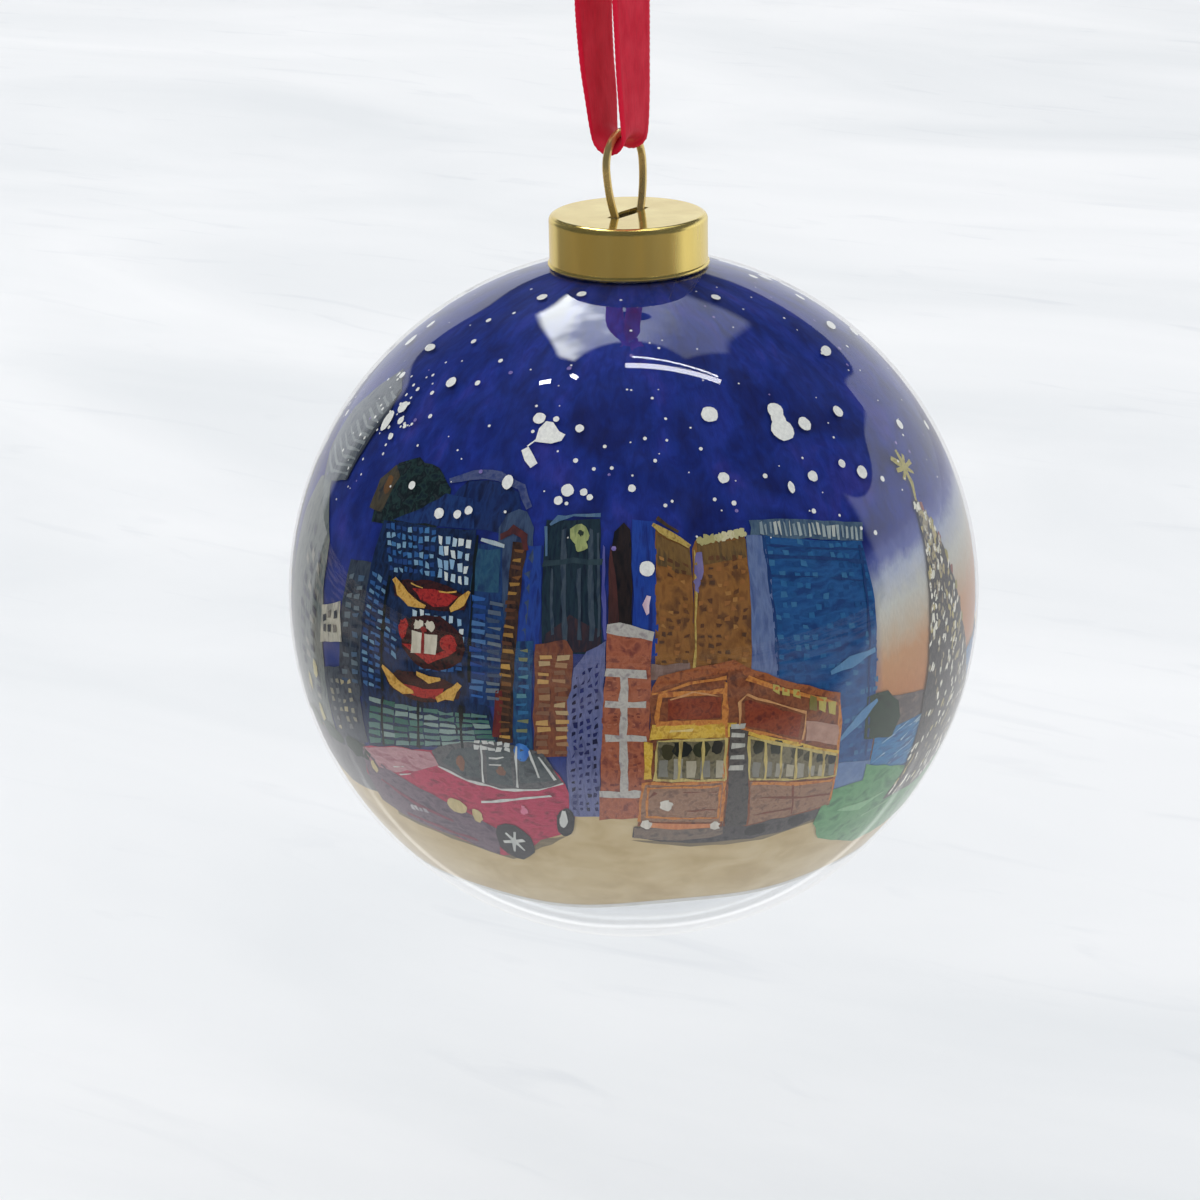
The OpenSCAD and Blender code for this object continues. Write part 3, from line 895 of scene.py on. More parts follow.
# ---------------------------------------------------------------- the painting: buildings
def paint_left_tower():
    """The lit tower at the left, with festive lights hung between its floors."""
    wall = paint("left_wall", (10, 26, 54), (18, 48, 92), (12, 28, 52), stroke=(8, 3))
    outline = [(-50.4, -13.6), (-21.9, -6.5), (-23.3, -1), (-26.6, 1.7), (-26.9, 16), (-28.2, 26.8),
               (-49.2, 25.2)]
    painted("left_tower_wall", [outline], 3, wall)
    blue = pick("left_panes_blue", (40, 90, 150), (66, 118, 168), (30, 66, 126), (120, 158, 186))
    bright = pick("left_panes_bright", (176, 198, 212), (134, 170, 200), (206, 214, 214))
    dim = pick("left_panes_dim", (40, 86, 144), (60, 104, 154), (30, 66, 120), (100, 138, 168))
    painted("left_panes_top",
            panes([(-44.6, 17.5), (-34.6, 18.4), (-36.4, 26.2), (-48.6, 24.8)], 9, 6, 0.7, 0.6), 5, blue)
    lit = panes([(-34.2, 18.2), (-27.8, 18), (-28.8, 25.4), (-35.9, 25.5)], 5, 4, 0.62, 0.72)
    lit += panes([(-41.2, 10.6), (-28.4, 11.8), (-28.4, 13.2), (-41.6, 12.8)], 9, 1, 0.55, 0.8, 0.1)
    lit += panes([(-30.6, 9), (-27.8, 9), (-27.8, 11.6), (-30.6, 11.4)], 2, 2, 0.6, 0.7, 0.2)
    painted("left_panes_lit", lit, 5, bright)
    sides = panes([(-49.4, -2.4), (-44.8, -2.2), (-44.4, 16), (-48.8, 17)], 3, 15, 0.8, 0.5)
    sides += panes([(-36.6, 3.2), (-28, 4.4), (-28, 6.4), (-36.7, 5.2)], 6, 2, 0.7, 0.6)
    sides += panes([(-44, 5), (-40.8, 4), (-41, 10), (-44.2, 10.4)], 2, 5, 0.7, 0.6)
    painted("left_panes_sides", sides, 5, dim)
    green = pick("left_floors_green", (104, 134, 128), (72, 116, 106), (130, 152, 146), (44, 98, 88),
                 (88, 124, 118))
    painted("left_floors",
            panes([(-50, -13), (-22.4, -6.8), (-23.6, -1.8), (-47.8, -3.6)], 8, 6, 0.92, 0.66, 0, 0.05), 5,
            green)
    dark = paint("left_lines", (8, 20, 28), (16, 34, 40), mottle=0.1)
    lines = [stroke(line, 0.5, 1) for line in ([(-44.5, -2.9), (-45.4, -8), (-46, -12.3)],
                                               [(-36.4, -1.8), (-37, -6), (-37.6, -10.4)],
                                               [(-28.3, -1.1), (-28.6, -5), (-28.6, -9)],
                                               [(-44.4, -2), (-44.4, 8), (-44.4, 17)],
                                               [(-27.8, 26), (-26.8, 14), (-26.8, 3)])]
    painted("left_tower_lines", lines, 6, dark)

    gold = paint("festive_gold", (172, 124, 46), (212, 168, 84), (190, 138, 56), stroke=(12, 10))
    red = paint("festive_red", (140, 26, 30), (176, 44, 40), (112, 20, 26), stroke=(12, 12))
    maroon = paint("festive_maroon", (44, 22, 26), (70, 30, 30), (26, 20, 28), stroke=(10, 10))
    beds = [blob(-35.4, 15.4, 7.4, 2.3, rough=0.03), blob(-34, 8.2, 6.3, 4.3, rough=0.03),
            blob(-35.8, 0.6, 7.6, 2.4, 0.06, rough=0.03)]
    painted("festive_shapes", beds, 6, maroon)
    reds = [[(-39, 16), (-34.4, 16.6), (-29.8, 16.2), (-31.4, 14.6), (-34.2, 13.9), (-36.8, 14.5)],
            [(-39.9, 6.9), (-34.3, 4.7), (-28.8, 8), (-31, 7.6), (-34, 6.4), (-37.8, 7.3)],
            [(-39.6, 0.4), (-35.4, 0.4), (-31.2, 1.2), (-32, -0.7), (-35.4, -1.3), (-38.6, -0.9)],
            blob(-39.8, 9.4, 0.9, 1.6), blob(-30.6, 8.6, 1.6, 1.4)]
    painted("festive_red_strokes", reds, 7, red)
    golds = [stroke([(-43.2, 16.8), (-41.4, 15.2), (-38.9, 13.9), (-35.8, 13.6)], 1.7, 0.4),
             stroke([(-27.6, 17.2), (-28.8, 15.5), (-30.8, 13.9)], 1.9, 0.4),
             stroke([(-39.4, 16.8), (-36.6, 16.4)], 0.9, 0.4), stroke([(-33.4, 16.4), (-30, 17)], 0.9, 0.4),
             stroke([(-44.2, 2.5), (-42.1, 0.6), (-39.5, -0.5), (-37.4, -0.6)], 1.8, 0.4),
             stroke([(-36.6, 2.7), (-34, 2.2), (-31.9, 2.5)], 1.4, 0.4),
             stroke([(-32.8, -0.8), (-30.1, 0.4), (-28.4, 2.4)], 1.8, 0.4)]
    painted("festive_gold_strokes", golds, 8, gold)
    cream = paint("festive_cream", (188, 180, 160), (214, 206, 188), mottle=0.1)
    gift = [(-38, 5.9), (-33, 6.4), (-33, 9.8), (-38, 9.4)]
    painted("festive_parcel", [gift], 8, cream)
    painted("festive_bow", [blob(-36.7, 10.7, 1.0, 0.8, 0.5), blob(-34.3, 10.9, 1.0, 0.8, -0.5)], 8, cream)
    painted("festive_parcel_ties", [stroke([(-35.5, 6.1), (-35.5, 9.8)], 0.5, 1), blob(-35.5, 10.1, 0.5)],
            9, paint("tie_red", (150, 40, 36), (120, 30, 32)))


def paint_left_group():
    """Roofs and narrow blocks beside the lit tower."""
    pine = paint("dome_green", (16, 36, 46), (34, 60, 58), (14, 28, 34), (40, 54, 56), stroke=(6, 6))
    olive = paint("dome_olive", (64, 58, 44), (80, 72, 54), (44, 48, 50), stroke=(6, 4))
    navy = paint("roof_navy", (14, 40, 92), (24, 58, 116), (12, 32, 78), stroke=(7, 3))
    arch_blue = paint("arch_blue", (58, 72, 120), (78, 88, 128), (44, 60, 116), stroke=(5, 6))
    painted("dark_dome",
            [[(-52.7, 24), (-53.9, 31.2), (-51.4, 34.4), (-46.5, 36.1), (-40.4, 35.5), (-35.8, 32.5),
              (-35, 28.8), (-37, 26)]], 2, pine)
    painted("dark_dome_side",
            [[(-54.6, 26), (-54.6, 31), (-51.6, 34), (-49.4, 32.6), (-50.2, 29), (-50.6, 26)]], 3, olive)
    painted("dome_glow", [blob(-51.6, 30.6, 0.9, 1.6)], 4,
            paint("dome_orange", (124, 84, 36), (100, 70, 40)))
    painted("roof_blue", [[(-47, 25.6), (-28.6, 27), (-30.6, 31.8), (-36.5, 31.6), (-41, 28.6)]], 3, navy)
    painted("arch_inside",
            [[(-35, 31), (-33, 34.4), (-26, 35), (-21.6, 33.6), (-20, 30), (-24, 27), (-29, 26.8)]], 2,
            paint("arch_dark", (12, 34, 84), (18, 48, 104), (10, 26, 66), stroke=(6, 3)))
    painted("arch_stroke",
            [stroke([(-36.8, 33.7), (-31.8, 35.5), (-26.3, 36), (-21.2, 34.5), (-18.9, 31.4)], 1.5, 0.6)],
            4, arch_blue)
    slate = paint("slate_wall", (44, 62, 96), (62, 82, 112), (34, 50, 84), stroke=(7, 2))
    painted("arched_block",
            [[(-22, 8), (-22.2, 16.6), (-24.1, 27.8), (-23, 30), (-21, 31), (-19.2, 30.7), (-17.6, 28.3),
              (-17.2, 25.6), (-17.2, 8)]], 3, slate)
    painted("arched_crescent",
            [stroke([(-23.4, 26.3), (-21.3, 27.8), (-19, 26.9), (-18.5, 24.6)], 1.3, 0.5)], 6,
            paint("rust_arch", (96, 46, 44), (72, 40, 46), stroke=(8, 5)))
    painted("wing_wall", [[(-26.8, -0.4), (-20.8, -0.4), (-21, 12), (-22.8, 25.2), (-27.9, 24.6)]], 4,
            paint("wing_blue", (16, 44, 96), (26, 64, 116), (14, 34, 76), stroke=(8, 3)))
    painted("wing_teal", [[(-27.6, 17.4), (-22.4, 17.6), (-23, 24.4), (-27.6, 24)]], 5,
            paint("wing_teal", (26, 70, 104), (40, 86, 112), (22, 56, 96), stroke=(6, 3)))
    painted("wing_panes_blue", panes([(-26.4, 0.2), (-24, 0.2), (-24.4, 17), (-27, 17)], 1, 13, 0.9, 0.46),
            6, pick("wing_blues", (44, 92, 160), (70, 112, 160), (30, 70, 140)))
    painted("wing_panes_grey",
            panes([(-23.6, 0.2), (-21.2, 0.4), (-21.4, 16.4), (-24, 16.6)], 1, 13, 0.9, 0.46), 6,
            pick("wing_greys", (84, 98, 116), (104, 116, 126), (60, 78, 104)))
    painted("wing_snow", [stroke([(-27, 25.5), (-24.6, 25.3), (-22.4, 24.9)], 0.9, 0.7)], 7,
            paint("wing_white", (160, 176, 184), (186, 196, 196)))

    ember = paint("ribbed_wall", (52, 34, 30), (76, 50, 34), (36, 26, 30), stroke=(8, 4))
    painted("ribbed_tower",
            [[(-22.3, -6.5), (-21.6, 0.7), (-21, 8.9), (-20.8, 16.8), (-20.9, 25.8), (-18.3, 25.7),
              (-18.6, 17), (-18.8, 9.1), (-19.2, 1), (-19.7, -6.2)]], 5, ember)
    painted("ribbed_tower_ribs",
            panes([(-22, -6), (-19.9, -6), (-18.7, 25), (-20.6, 25)], 1, 24, 0.85, 0.4), 6,
            pick("ribs_gold", (156, 116, 56), (186, 142, 70), (120, 78, 42), (96, 60, 40)))
    painted("red_strip", [[(-23, -5.6), (-21.6, -5.4), (-21, 2.5), (-22, 2.3)]], 6,
            paint("strip_red", (116, 36, 34), (88, 30, 34), stroke=(10, 6)))
    painted("blue_block", [[(-18.7, 9), (-15, 9.4), (-15.4, 25.6), (-18.9, 25.4)]], 3,
            paint("blue_strip", (20, 50, 132), (30, 66, 148), (18, 40, 108), stroke=(10, 2)))
    painted("teal_block", [[(-19.8, -9.8), (-16.4, -9.5), (-16, 10.9), (-18.8, 10.7)]], 4,
            paint("teal_wall", (20, 60, 110), (34, 84, 124), (18, 44, 90), stroke=(10, 3)))
    painted("teal_lines", panes([(-19.4, -8.8), (-16.8, -8.6), (-16.4, 10), (-18.4, 9.8)], 1, 13, 0.7, 0.4),
            6, pick("teal_panes", (150, 142, 84), (84, 134, 148), (44, 104, 150), (118, 124, 90)))
    painted("blue_lamp", [blob(-18.2, -7.6, 1.3, 1.6)], 7,
            paint("lamp_blue", (40, 100, 180), (70, 130, 200)))


def paint_clock_tower():
    """The dark square-topped tower, the block of lit windows before it and the dotted block."""
    dark = paint("clock_wall", (14, 36, 56), (28, 54, 66), (12, 28, 50), stroke=(10, 2))
    painted("clock_tower_wall", [[(-14.5, 9), (-4.9, 9.4), (-5.8, 30.3), (-15.4, 29.6)]], 3, dark)
    stripes = [stroke([(-12, 28.4), (-11.5, 20), (-10.9, 11.3)], 0.9, 0.8),
               stroke([(-9, 22.4), (-8.5, 11.4)], 0.8, 0.8),
               stroke([(-7.2, 28.6), (-7, 20), (-6.6, 11.4)], 0.8, 0.8),
               stroke([(-13.6, 22), (-13, 12)], 0.6, 0.8), stroke([(-5.9, 28), (-5.4, 12)], 0.5, 0.8)]
    painted("clock_tower_stripes", stripes, 5,
            paint("clock_greys", (50, 66, 84), (66, 80, 92), (40, 58, 78)))
    painted("clock_cornice", [stroke([(-15.2, 22.9), (-10, 23.4), (-5, 23.5)], 1.0, 0.9)], 6,
            paint("clock_ledge", (36, 58, 70), (52, 74, 82), mottle=0.15))
    painted("clock_arch", [stroke([(-14.6, 29), (-13.2, 30), (-10.3, 30.7), (-5.6, 30.6)], 0.7, 0.7),
                           stroke([(-15.3, 28.6), (-14.9, 24)], 0.4, 0.7)], 6,
            paint("clock_pale", (70, 104, 140), (92, 120, 146)))
    painted("clock_face", [blob(-9.3, 27.6, 1.5, 1.6), blob(-8.8, 26, 0.9, 1.0)], 7,
            paint("clock_yellow", (140, 152, 96), (164, 172, 112), (116, 130, 84)))
    painted("clock_hands", [blob(-8.9, 27.9, 0.4, 0.5)], 8, paint("clock_dark", (36, 50, 44), (50, 60, 50)))
    painted("clock_foot", [[(-14.6, 9.4), (-5, 9.6), (-5.2, 13), (-10, 15), (-14, 12)]], 4,
            paint("clock_brown", (64, 46, 52), (44, 42, 54), (80, 50, 48)))

    painted("lit_block_wall", [[(-16.1, -8.3), (-10, -7.8), (-9.6, 9.6), (-10.6, 11.4), (-15.6, 10.2)]], 5,
            paint("lit_wall", (112, 62, 48), (132, 78, 54), (88, 52, 48), stroke=(9, 4)))
    painted("lit_block_panes",
            panes([(-15.9, -8), (-10.4, -7.6), (-10, 9.4), (-15.4, 9)], 2, 13, 0.7, 0.56), 6,
            pick("lit_panes", (178, 152, 112), (160, 122, 88), (130, 92, 70), (190, 150, 92)))
    painted("dotted_block_wall",
            [[(-11.2, -19.3), (-6.2, -19.1), (-4.4, 11.3), (-7.3, 9.8), (-9.5, 6.9), (-10.4, 1.7)]], 6,
            paint("dotted_wall", (84, 92, 138), (104, 110, 152), (76, 82, 124), stroke=(10, 3)))
    painted("dotted_block_panes",
            panes([(-10.9, -18.4), (-6, -18.2), (-5.2, 8.6), (-9.6, 5.6)], 4, 19, 0.46, 0.5), 7,
            pick("dotted_panes", (20, 30, 88), (36, 44, 104), (16, 22, 64)))
    painted("violet_edge", [stroke([(-4.9, 26), (-4.8, 18), (-4.6, 11.5)], 0.7, 0.5)], 5,
            paint("edge_violet", (70, 74, 150), (90, 92, 160), mottle=0.1))
    painted("leaning_block",
            [[(-4.1, 11), (-4, 23.8), (-3.2, 28.2), (-1.5, 29.6), (-0.2, 28.5), (-0.3, 11)]], 4,
            paint("leaning_brown", (30, 26, 28), (46, 34, 32), (22, 22, 30)))
    painted("leaning_side", [[(-4.1, 11), (-2.4, 11), (-2.6, 19), (-3.6, 26), (-4, 23.8)]], 5,
            paint("leaning_red", (84, 46, 42), (60, 38, 38), stroke=(10, 2)))
    painted("middle_sky", [[(-0.3, 9), (3.6, 9), (4, 29.7), (0.1, 30.1)]], 3,
            paint("middle_blue", (14, 52, 142), (26, 66, 156), (14, 40, 120), stroke=(10, 1.6)))


def paint_brick_block():
    """The narrow brick block with pale bands."""
    brick = paint("brick_wall", (146, 78, 54), (168, 96, 68), (122, 62, 52), stroke=(7, 6))
    painted("brick_block_wall", [[(-6.1, -19.7), (1.8, -19.2), (2.8, 11.4), (-4.2, 12.7)]], 6, brick)
    white = paint("brick_trim", (166, 160, 154), (186, 182, 174), (150, 142, 142), stroke=(9, 8),
                  mottle=0.12)
    bands = [stroke([(-4.3, 13.3), (-0.6, 12.9), (3, 11.9)], 1.9, 0.8),
             stroke([(-4.6, 6.4), (1.8, 6.2)], 1.4, 0.9), stroke([(-4.6, 1.4), (1.8, 1.2)], 1.2, 0.9),
             stroke([(-4.7, -4.3), (1.7, -4.5)], 1.2, 0.9), stroke([(-5.9, -14.6), (1.6, -14.5)], 1.2, 0.9),
             stroke([(-1.6, 6), (-1.8, -4), (-2, -14.5)], 1.3, 1)]
    painted("brick_block_trim", bands, 7, white)
    marks = [mark for west, east in ((-4.4, -2.6), (-0.6, 1))
             for low, high in ((-13.4, -5.6), (-3.4, 0.2), (2.4, 5.2))
             for mark in panes(box(west, low, east, high), 2, 6, 0.6, 0.3, 0.4)]
    painted("brick_block_marks", marks, 7,
            pick("brick_marks", (116, 56, 46), (176, 108, 80), (126, 70, 60)))


def paint_gold_towers():
    """The pair of golden towers and the blue-grey strip beside them."""
    gold = paint("gold_wall", (122, 78, 36), (146, 98, 46), (102, 66, 36), stroke=(5, 3), mottle=0.12)
    painted("gold_tower_left", [[(3.2, 5), (9.2, 5), (9.8, 25.3), (6.8, 27.2), (3.9, 28.6)]], 3, gold)
    painted("gold_tower_right", [[(9, 5), (18.5, 4), (19.8, 26.4), (10.8, 26.4), (10.2, 25)]], 4, gold)
    marks = panes([(3.8, 7.5), (8.6, 7.4), (9.2, 23), (4.2, 25)], 4, 13, 0.6, 0.45, 0.35, 0.2)
    marks += panes([(9.8, 7.2), (18, 6.4), (19, 24), (11, 24)], 6, 13, 0.55, 0.45, 0.35, 0.2)
    painted("gold_tower_panes", marks, 6,
            pick("gold_panes", (94, 60, 34), (104, 68, 38), (90, 62, 40), (164, 116, 60), (150, 98, 48)))
    painted("gold_tower_trim", [stroke([(3.5, 29.3), (6.5, 27.5), (9.9, 25.5)], 1.1, 0.6),
                                stroke([(9.3, 6), (10, 16), (10.5, 25)], 0.45, 0.8)], 7,
            paint("gold_trim", (168, 140, 66), (190, 164, 88), (140, 114, 58), stroke=(14, 10)))
    painted("gold_tower_ridge", [stroke([(4.4, 30.3), (8, 27.8)], 0.7, 0.6)], 7,
            paint("ridge_brown", (84, 64, 44), (60, 50, 44)))
    painted("gold_tower_pearls", [blob(11.6 + 1.1 * k, 26.3 + 0.09 * k, 0.68, 0.72) for k in range(8)], 7,
            pick("pearl_cream", (190, 184, 138), (172, 164, 110), (206, 198, 160)))
    painted("gold_tower_roofs",
            [[(4.1, 27.8), (9.7, 24.9), (9.5, 21), (4, 23)],
             [(10.8, 22.4), (19.6, 23), (19.7, 25.9), (10.9, 25.7)]], 5,
            paint("gold_olive", (104, 78, 42), (122, 92, 48), (88, 70, 44)))
    painted("gold_tower_lilac", [blob(11, 22.4, 0.7, 2.2), blob(10.4, 19.6, 0.5, 1.2)], 7,
            paint("lilac_dab", (104, 98, 150), (126, 116, 160)))
    painted("gold_tower_foot", [box(2.6, 5.2, 8.8, 7.6)], 5,
            paint("foot_lilac", (118, 92, 84), (134, 110, 102)))
    painted("slate_strip", [[(18.4, 4), (22.8, 3), (23.2, 26), (19.8, 26.4)]], 5,
            paint("strip_slate", (84, 104, 150), (102, 120, 160), (72, 90, 138), stroke=(8, 2)))


def paint_blue_tower():
    """The tall tower of blue glass with its striped crown."""
    corners = [(22.9, -14), (42.6, -15.4), (42.4, 21.9), (23, 26)]
    wall = [(22.9, -14), (42.6, -15.4), (41.8, -0.8), (42.8, 12.3), (42.4, 21.9), (23, 26)]
    painted("blue_tower_wall", [wall], 3,
            paint("blue_glass", (10, 66, 126), (26, 86, 144), (10, 58, 116), stroke=(2.2, 5), mottle=0.12))
    painted("blue_tower_panes", panes(corners, 13, 24, 0.66, 0.5, 0.3, 0.1), 4,
            pick("blue_glass_panes", (18, 78, 134), (34, 98, 150), (14, 70, 128), (50, 108, 152)))
    lines = [[(23, 26), (22.9, 15), (22.9, 4)], [(41.7, 21.4), (41, 12.6), (40.2, -0.4), (41.2, -14.1)],
             [(22.7, 22.9), (32, 21.2), (42.3, 18.5)]]
    thin = [[(22.8, 19.8), (32, 18.2), (42, 15.6)], [(22.9, 24.6), (42.3, 20.6)]]
    strokes = [stroke(line, 0.5, 1) for line in lines]
    strokes += [stroke(line, 0.25, 1) for line in thin]
    painted("blue_tower_lines", strokes, 5,
            paint("blue_tower_dark", (14, 50, 108), (24, 66, 120), mottle=0.12))
    painted("blue_tower_crown",
            [[(20.8, 26.4), (31.5, 24.3), (42.9, 21.8), (44, 24.5), (31, 27.6), (21.1, 28.8)]], 4,
            paint("crown_blue", (60, 84, 112), (80, 104, 124), (50, 74, 108)))
    teeth = panes([(22.4, 26.1), (31.5, 24.4), (31.6, 27.2), (22.6, 28.3)], 10, 1, 0.5, 0.85, loose=0.08)
    teeth += panes([(31.5, 24.4), (42.8, 21.9), (43.8, 24.2), (31.6, 27.2)], 12, 1, 0.5, 0.85, loose=0.08)
    painted("blue_tower_teeth", teeth, 6,
            pick("crown_white", (160, 172, 172), (134, 150, 158), (182, 188, 182)))
    painted("blue_tower_sheen", [stroke([(32.4, 2.6), (36.5, 3.8), (41.6, 4.4)], 1.9, 0.3),
                                 stroke([(34.6, -9.4), (39.3, -5.8), (42.3, -4.2)], 2.0, 0.3)], 6,
            paint("sheen_blue", (76, 128, 172), (92, 140, 178)))
    painted("blue_tower_foot", [[(34.2, -19.4), (43.8, -21.8), (42.6, -15.2), (34.2, -13.6)]], 5,
            paint("foot_blue", (84, 114, 160), (104, 130, 168), stroke=(4, 5)))


# ---------------------------------------------------------------- the painting: street scene
def paint_tram():
    """A double-deck tram seen from its front corner."""
    umber = paint("tram_umber", (116, 60, 36), (140, 80, 48), (94, 50, 36), stroke=(8, 7))
    amber = paint("tram_amber", (180, 106, 46), (200, 130, 60), (156, 84, 42), stroke=(10, 8))
    yellow = paint("tram_yellow", (196, 156, 44), (214, 178, 74), (172, 128, 40), stroke=(10, 8))
    low = paint("tram_low", (134, 98, 76), (152, 116, 92), (116, 84, 68), stroke=(8, 8))
    dark = paint("tram_dark", (60, 58, 62), (80, 76, 78), (46, 46, 52), stroke=(8, 8))
    oxblood = paint("tram_oxblood", (120, 44, 28), (142, 62, 34), (100, 36, 26), stroke=(9, 9))
    peach = paint("tram_peach", (190, 134, 84), (206, 154, 104), stroke=(9, 9))
    front = [(0.2, -21.2), (14.8, -22.2), (14.3, -3), (14.2, 6), (3.6, 5.4), (2.3, 2.4), (2.3, -5.2),
             (1.5, -12)]
    side = [(14.8, -22.2), (19.3, -22.6), (35.4, -22), (34.8, -13.2), (34.2, -1.6), (24.2, 2.7),
            (17.5, 5.6), (14.2, 6)]
    painted("tram_walls", [front, side], 7, umber)
    painted("tram_roof",
            [[(2.3, 2.6), (3.6, 5.6), (8.7, 6.7), (15.9, 7.4), (17.5, 6.2), (24.2, 3), (34.2, -1),
              (34.2, -2.2), (24.2, 1.9), (17.5, 4.8), (15.9, 5.8), (8.6, 5.1), (4.6, 4.2)]], 8,
            paint("tram_roof_orange", (138, 72, 40), (160, 90, 48), (112, 58, 36), stroke=(9, 8)))
    painted("tram_low_panels",
            [[(1.3, -12.4), (14.3, -13), (14.7, -21.2), (0.4, -19.8)],
             [(18.6, -13.6), (34.8, -16.6), (35.3, -21.8), (19.4, -22.4)]], 8, low)
    painted("tram_underbody",
            [[(14.7, -21.7), (19.3, -22.4), (35.4, -21.9), (34.9, -24.4), (28, -25.6), (22.9, -25.9),
              (9.4, -25.6), (-0.8, -23.6), (-0.5, -21.3)]], 5, dark)
    painted("tram_skirt", [[(-0.5, -21.3), (14.8, -22.6), (15.1, -24.4), (7.6, -24.7), (-0.5, -23.6)]], 6,
            paint("tram_grey", (112, 96, 86), (126, 110, 98), (94, 84, 80), stroke=(6, 8)))

    panels = [[(5.1, -1.3), (13.3, -1.6), (13.3, 1.9), (5.1, 2.1)],
              [(17.4, -3.4), (26.6, -7), (27, -3.2), (18, 0.8), (17.2, 0.4)]]
    painted("tram_panels", panels, 8, oxblood)
    trims = frame_lines([(3.3, -1.9), (14, -2.3), (14, 2.7), (3.8, 2.8)], 0.8)
    trims += frame_lines([(1.6, -19), (13.8, -20.2), (13.6, -13.8), (2, -13.2)], 0.4)
    trims += [stroke(line, 0.6, 0.9)
              for line in ([(2.6, 2.8), (8.6, 4.4), (14.2, 4.8)], [(14.4, -21), (14.3, -12), (14.2, 4)],
                           [(17.6, 4.4), (24.2, 1.4), (33.8, -2.6)],
                           [(0.4, -20), (1, -12.4), (7, -12.8), (14.3, -13)],
                           [(19, -14), (27, -15.6), (34.8, -16.8)], [(34.1, -2), (34.6, -12), (35, -21)],
                           [(16.6, -3.6), (22, -5.8), (27.2, -8)])]
    painted("tram_frames", trims, 9, amber)
    outlines = [stroke([(16.4, -3.2), (16.3, 0.6), (17.6, 1.7), (22.6, -0.5), (27.8, -2.9), (27.3, -7.6)],
                       0.5, 0.8), stroke([(5.4, 1.8), (9, 3), (13, 1.9)], 0.3, 0.5)]
    painted("tram_panel_rims", outlines, 10, peach)
    upper = panes([(21.6, 1.5), (26.8, -0.7), (26.8, 1.1), (21.6, 3.1)], 3, 1, 0.7, 0.8, loose=0.05)
    upper += panes([(28, -2.6), (33.6, -4.8), (33.6, -1.9), (28, 0.2)], 3, 1, 0.7, 0.85, loose=0.05)
    painted("tram_upper_panes", upper, 9,
            pick("tram_upper", (150, 150, 76), (178, 164, 84), (120, 112, 56)))
    painted("tram_pink_panel", [[(27.9, -7.8), (34.1, -10), (34, -6.3), (28, -4.2)]], 9,
            paint("tram_pink", (178, 140, 122), (160, 120, 104), stroke=(6, 8)))
    painted("tram_gold_band",
            [stroke([(2.3, -3.3), (9, -3.5), (15.9, -3.9)], 2.4, 1),
             stroke([(2.2, -5), (1.8, -11.6)], 1.4, 0.8),
             stroke([(17.8, -4.8), (22, -6.6), (28, -9), (34.6, -11.6)], 0.8, 0.9)], 9, yellow)
    painted("tram_band_light", [stroke([(5.4, -3.2), (8.8, -3.3)], 0.5, 0.5)], 10,
            paint("band_cream", (222, 202, 140), (206, 180, 110)))
    glass_front = [(3, -11.8), (14.4, -12.6), (14.2, -5.2), (3.4, -4.8)]
    glass_side = [(18.5, -13.2), (35, -16), (34.5, -11.9), (18, -5.4)]
    painted("tram_windows", [glass_front, glass_side], 8,
            paint("tram_glass", (96, 88, 64), (120, 112, 84), (76, 72, 56), stroke=(9, 7)))
    greys = panes([(3.2, -11.8), (14.4, -12.5), (14.3, -8.6), (3.3, -7.9)], 5, 1, 0.66, 0.9, loose=0.05)
    greys += panes([(18.6, -13), (34.8, -15.8), (34.6, -13.6), (18.4, -9.4)], 8, 1, 0.62, 0.9, loose=0.05)
    painted("tram_window_greys", greys, 9,
            pick("window_greys", (150, 146, 132), (126, 124, 114), (168, 160, 138)))
    heads = [blob(5, -6.8, 1.0, 1.4), blob(7.2, -6.6, 1.5, 1.5), blob(10.4, -6.7, 1.4, 1.4),
             blob(12.9, -6.6, 1.0, 1.3)]
    heads += [blob(19.6, -7.4, 1.0, 1.3), blob(22.8, -8, 1.1, 1.3), blob(26.6, -9.6, 1.2, 1.2),
              blob(29, -10.6, 1.0, 1.1), blob(31.4, -11.4, 1.2, 1.1), blob(33.6, -12.4, 0.9, 1.0)]
    painted("tram_passengers", heads, 9,
            pick("passengers", (28, 38, 24), (44, 48, 26), (24, 30, 28), (60, 56, 30)))
    bars = frame_lines(glass_front, 0.4, 3, 1) + frame_lines(glass_side, 0.4, 6, 1)
    painted("tram_window_bars", bars, 10,
            paint("tram_straw", (176, 158, 92), (196, 176, 108), (150, 130, 76)))
    painted("tram_door", [[(14.8, -3.2), (17.6, -4.3), (19.2, -22.6), (15, -22)]], 9,
            paint("door_dark", (62, 60, 60), (84, 80, 78), (46, 46, 50), stroke=(9, 9)))
    steps = [stroke([(15, lat), (17.3, lat - 0.2)], 1.0, 0.9) for lat in (-3.3, -4.8, -6.6, -8.6, -10.6)]
    painted("tram_steps", steps, 10, paint("steps_grey", (168, 168, 160), (190, 188, 178)))
    painted("tram_bumper", [stroke([(1.4, -20.6), (7, -21.4), (13.4, -21.8)], 1.2, 0.8)], 9,
            paint("tram_orange", (190, 116, 72), (206, 136, 88)))
    white = paint("tram_white", (196, 190, 178), (216, 210, 198), mottle=0.1)
    painted("tram_lamps",
            [blob(4.9, -16.7, 1.1, 1.0), blob(1.7, -20.6, 0.8, 0.9), blob(13.4, -21.8, 0.8, 0.9)], 10,
            white)
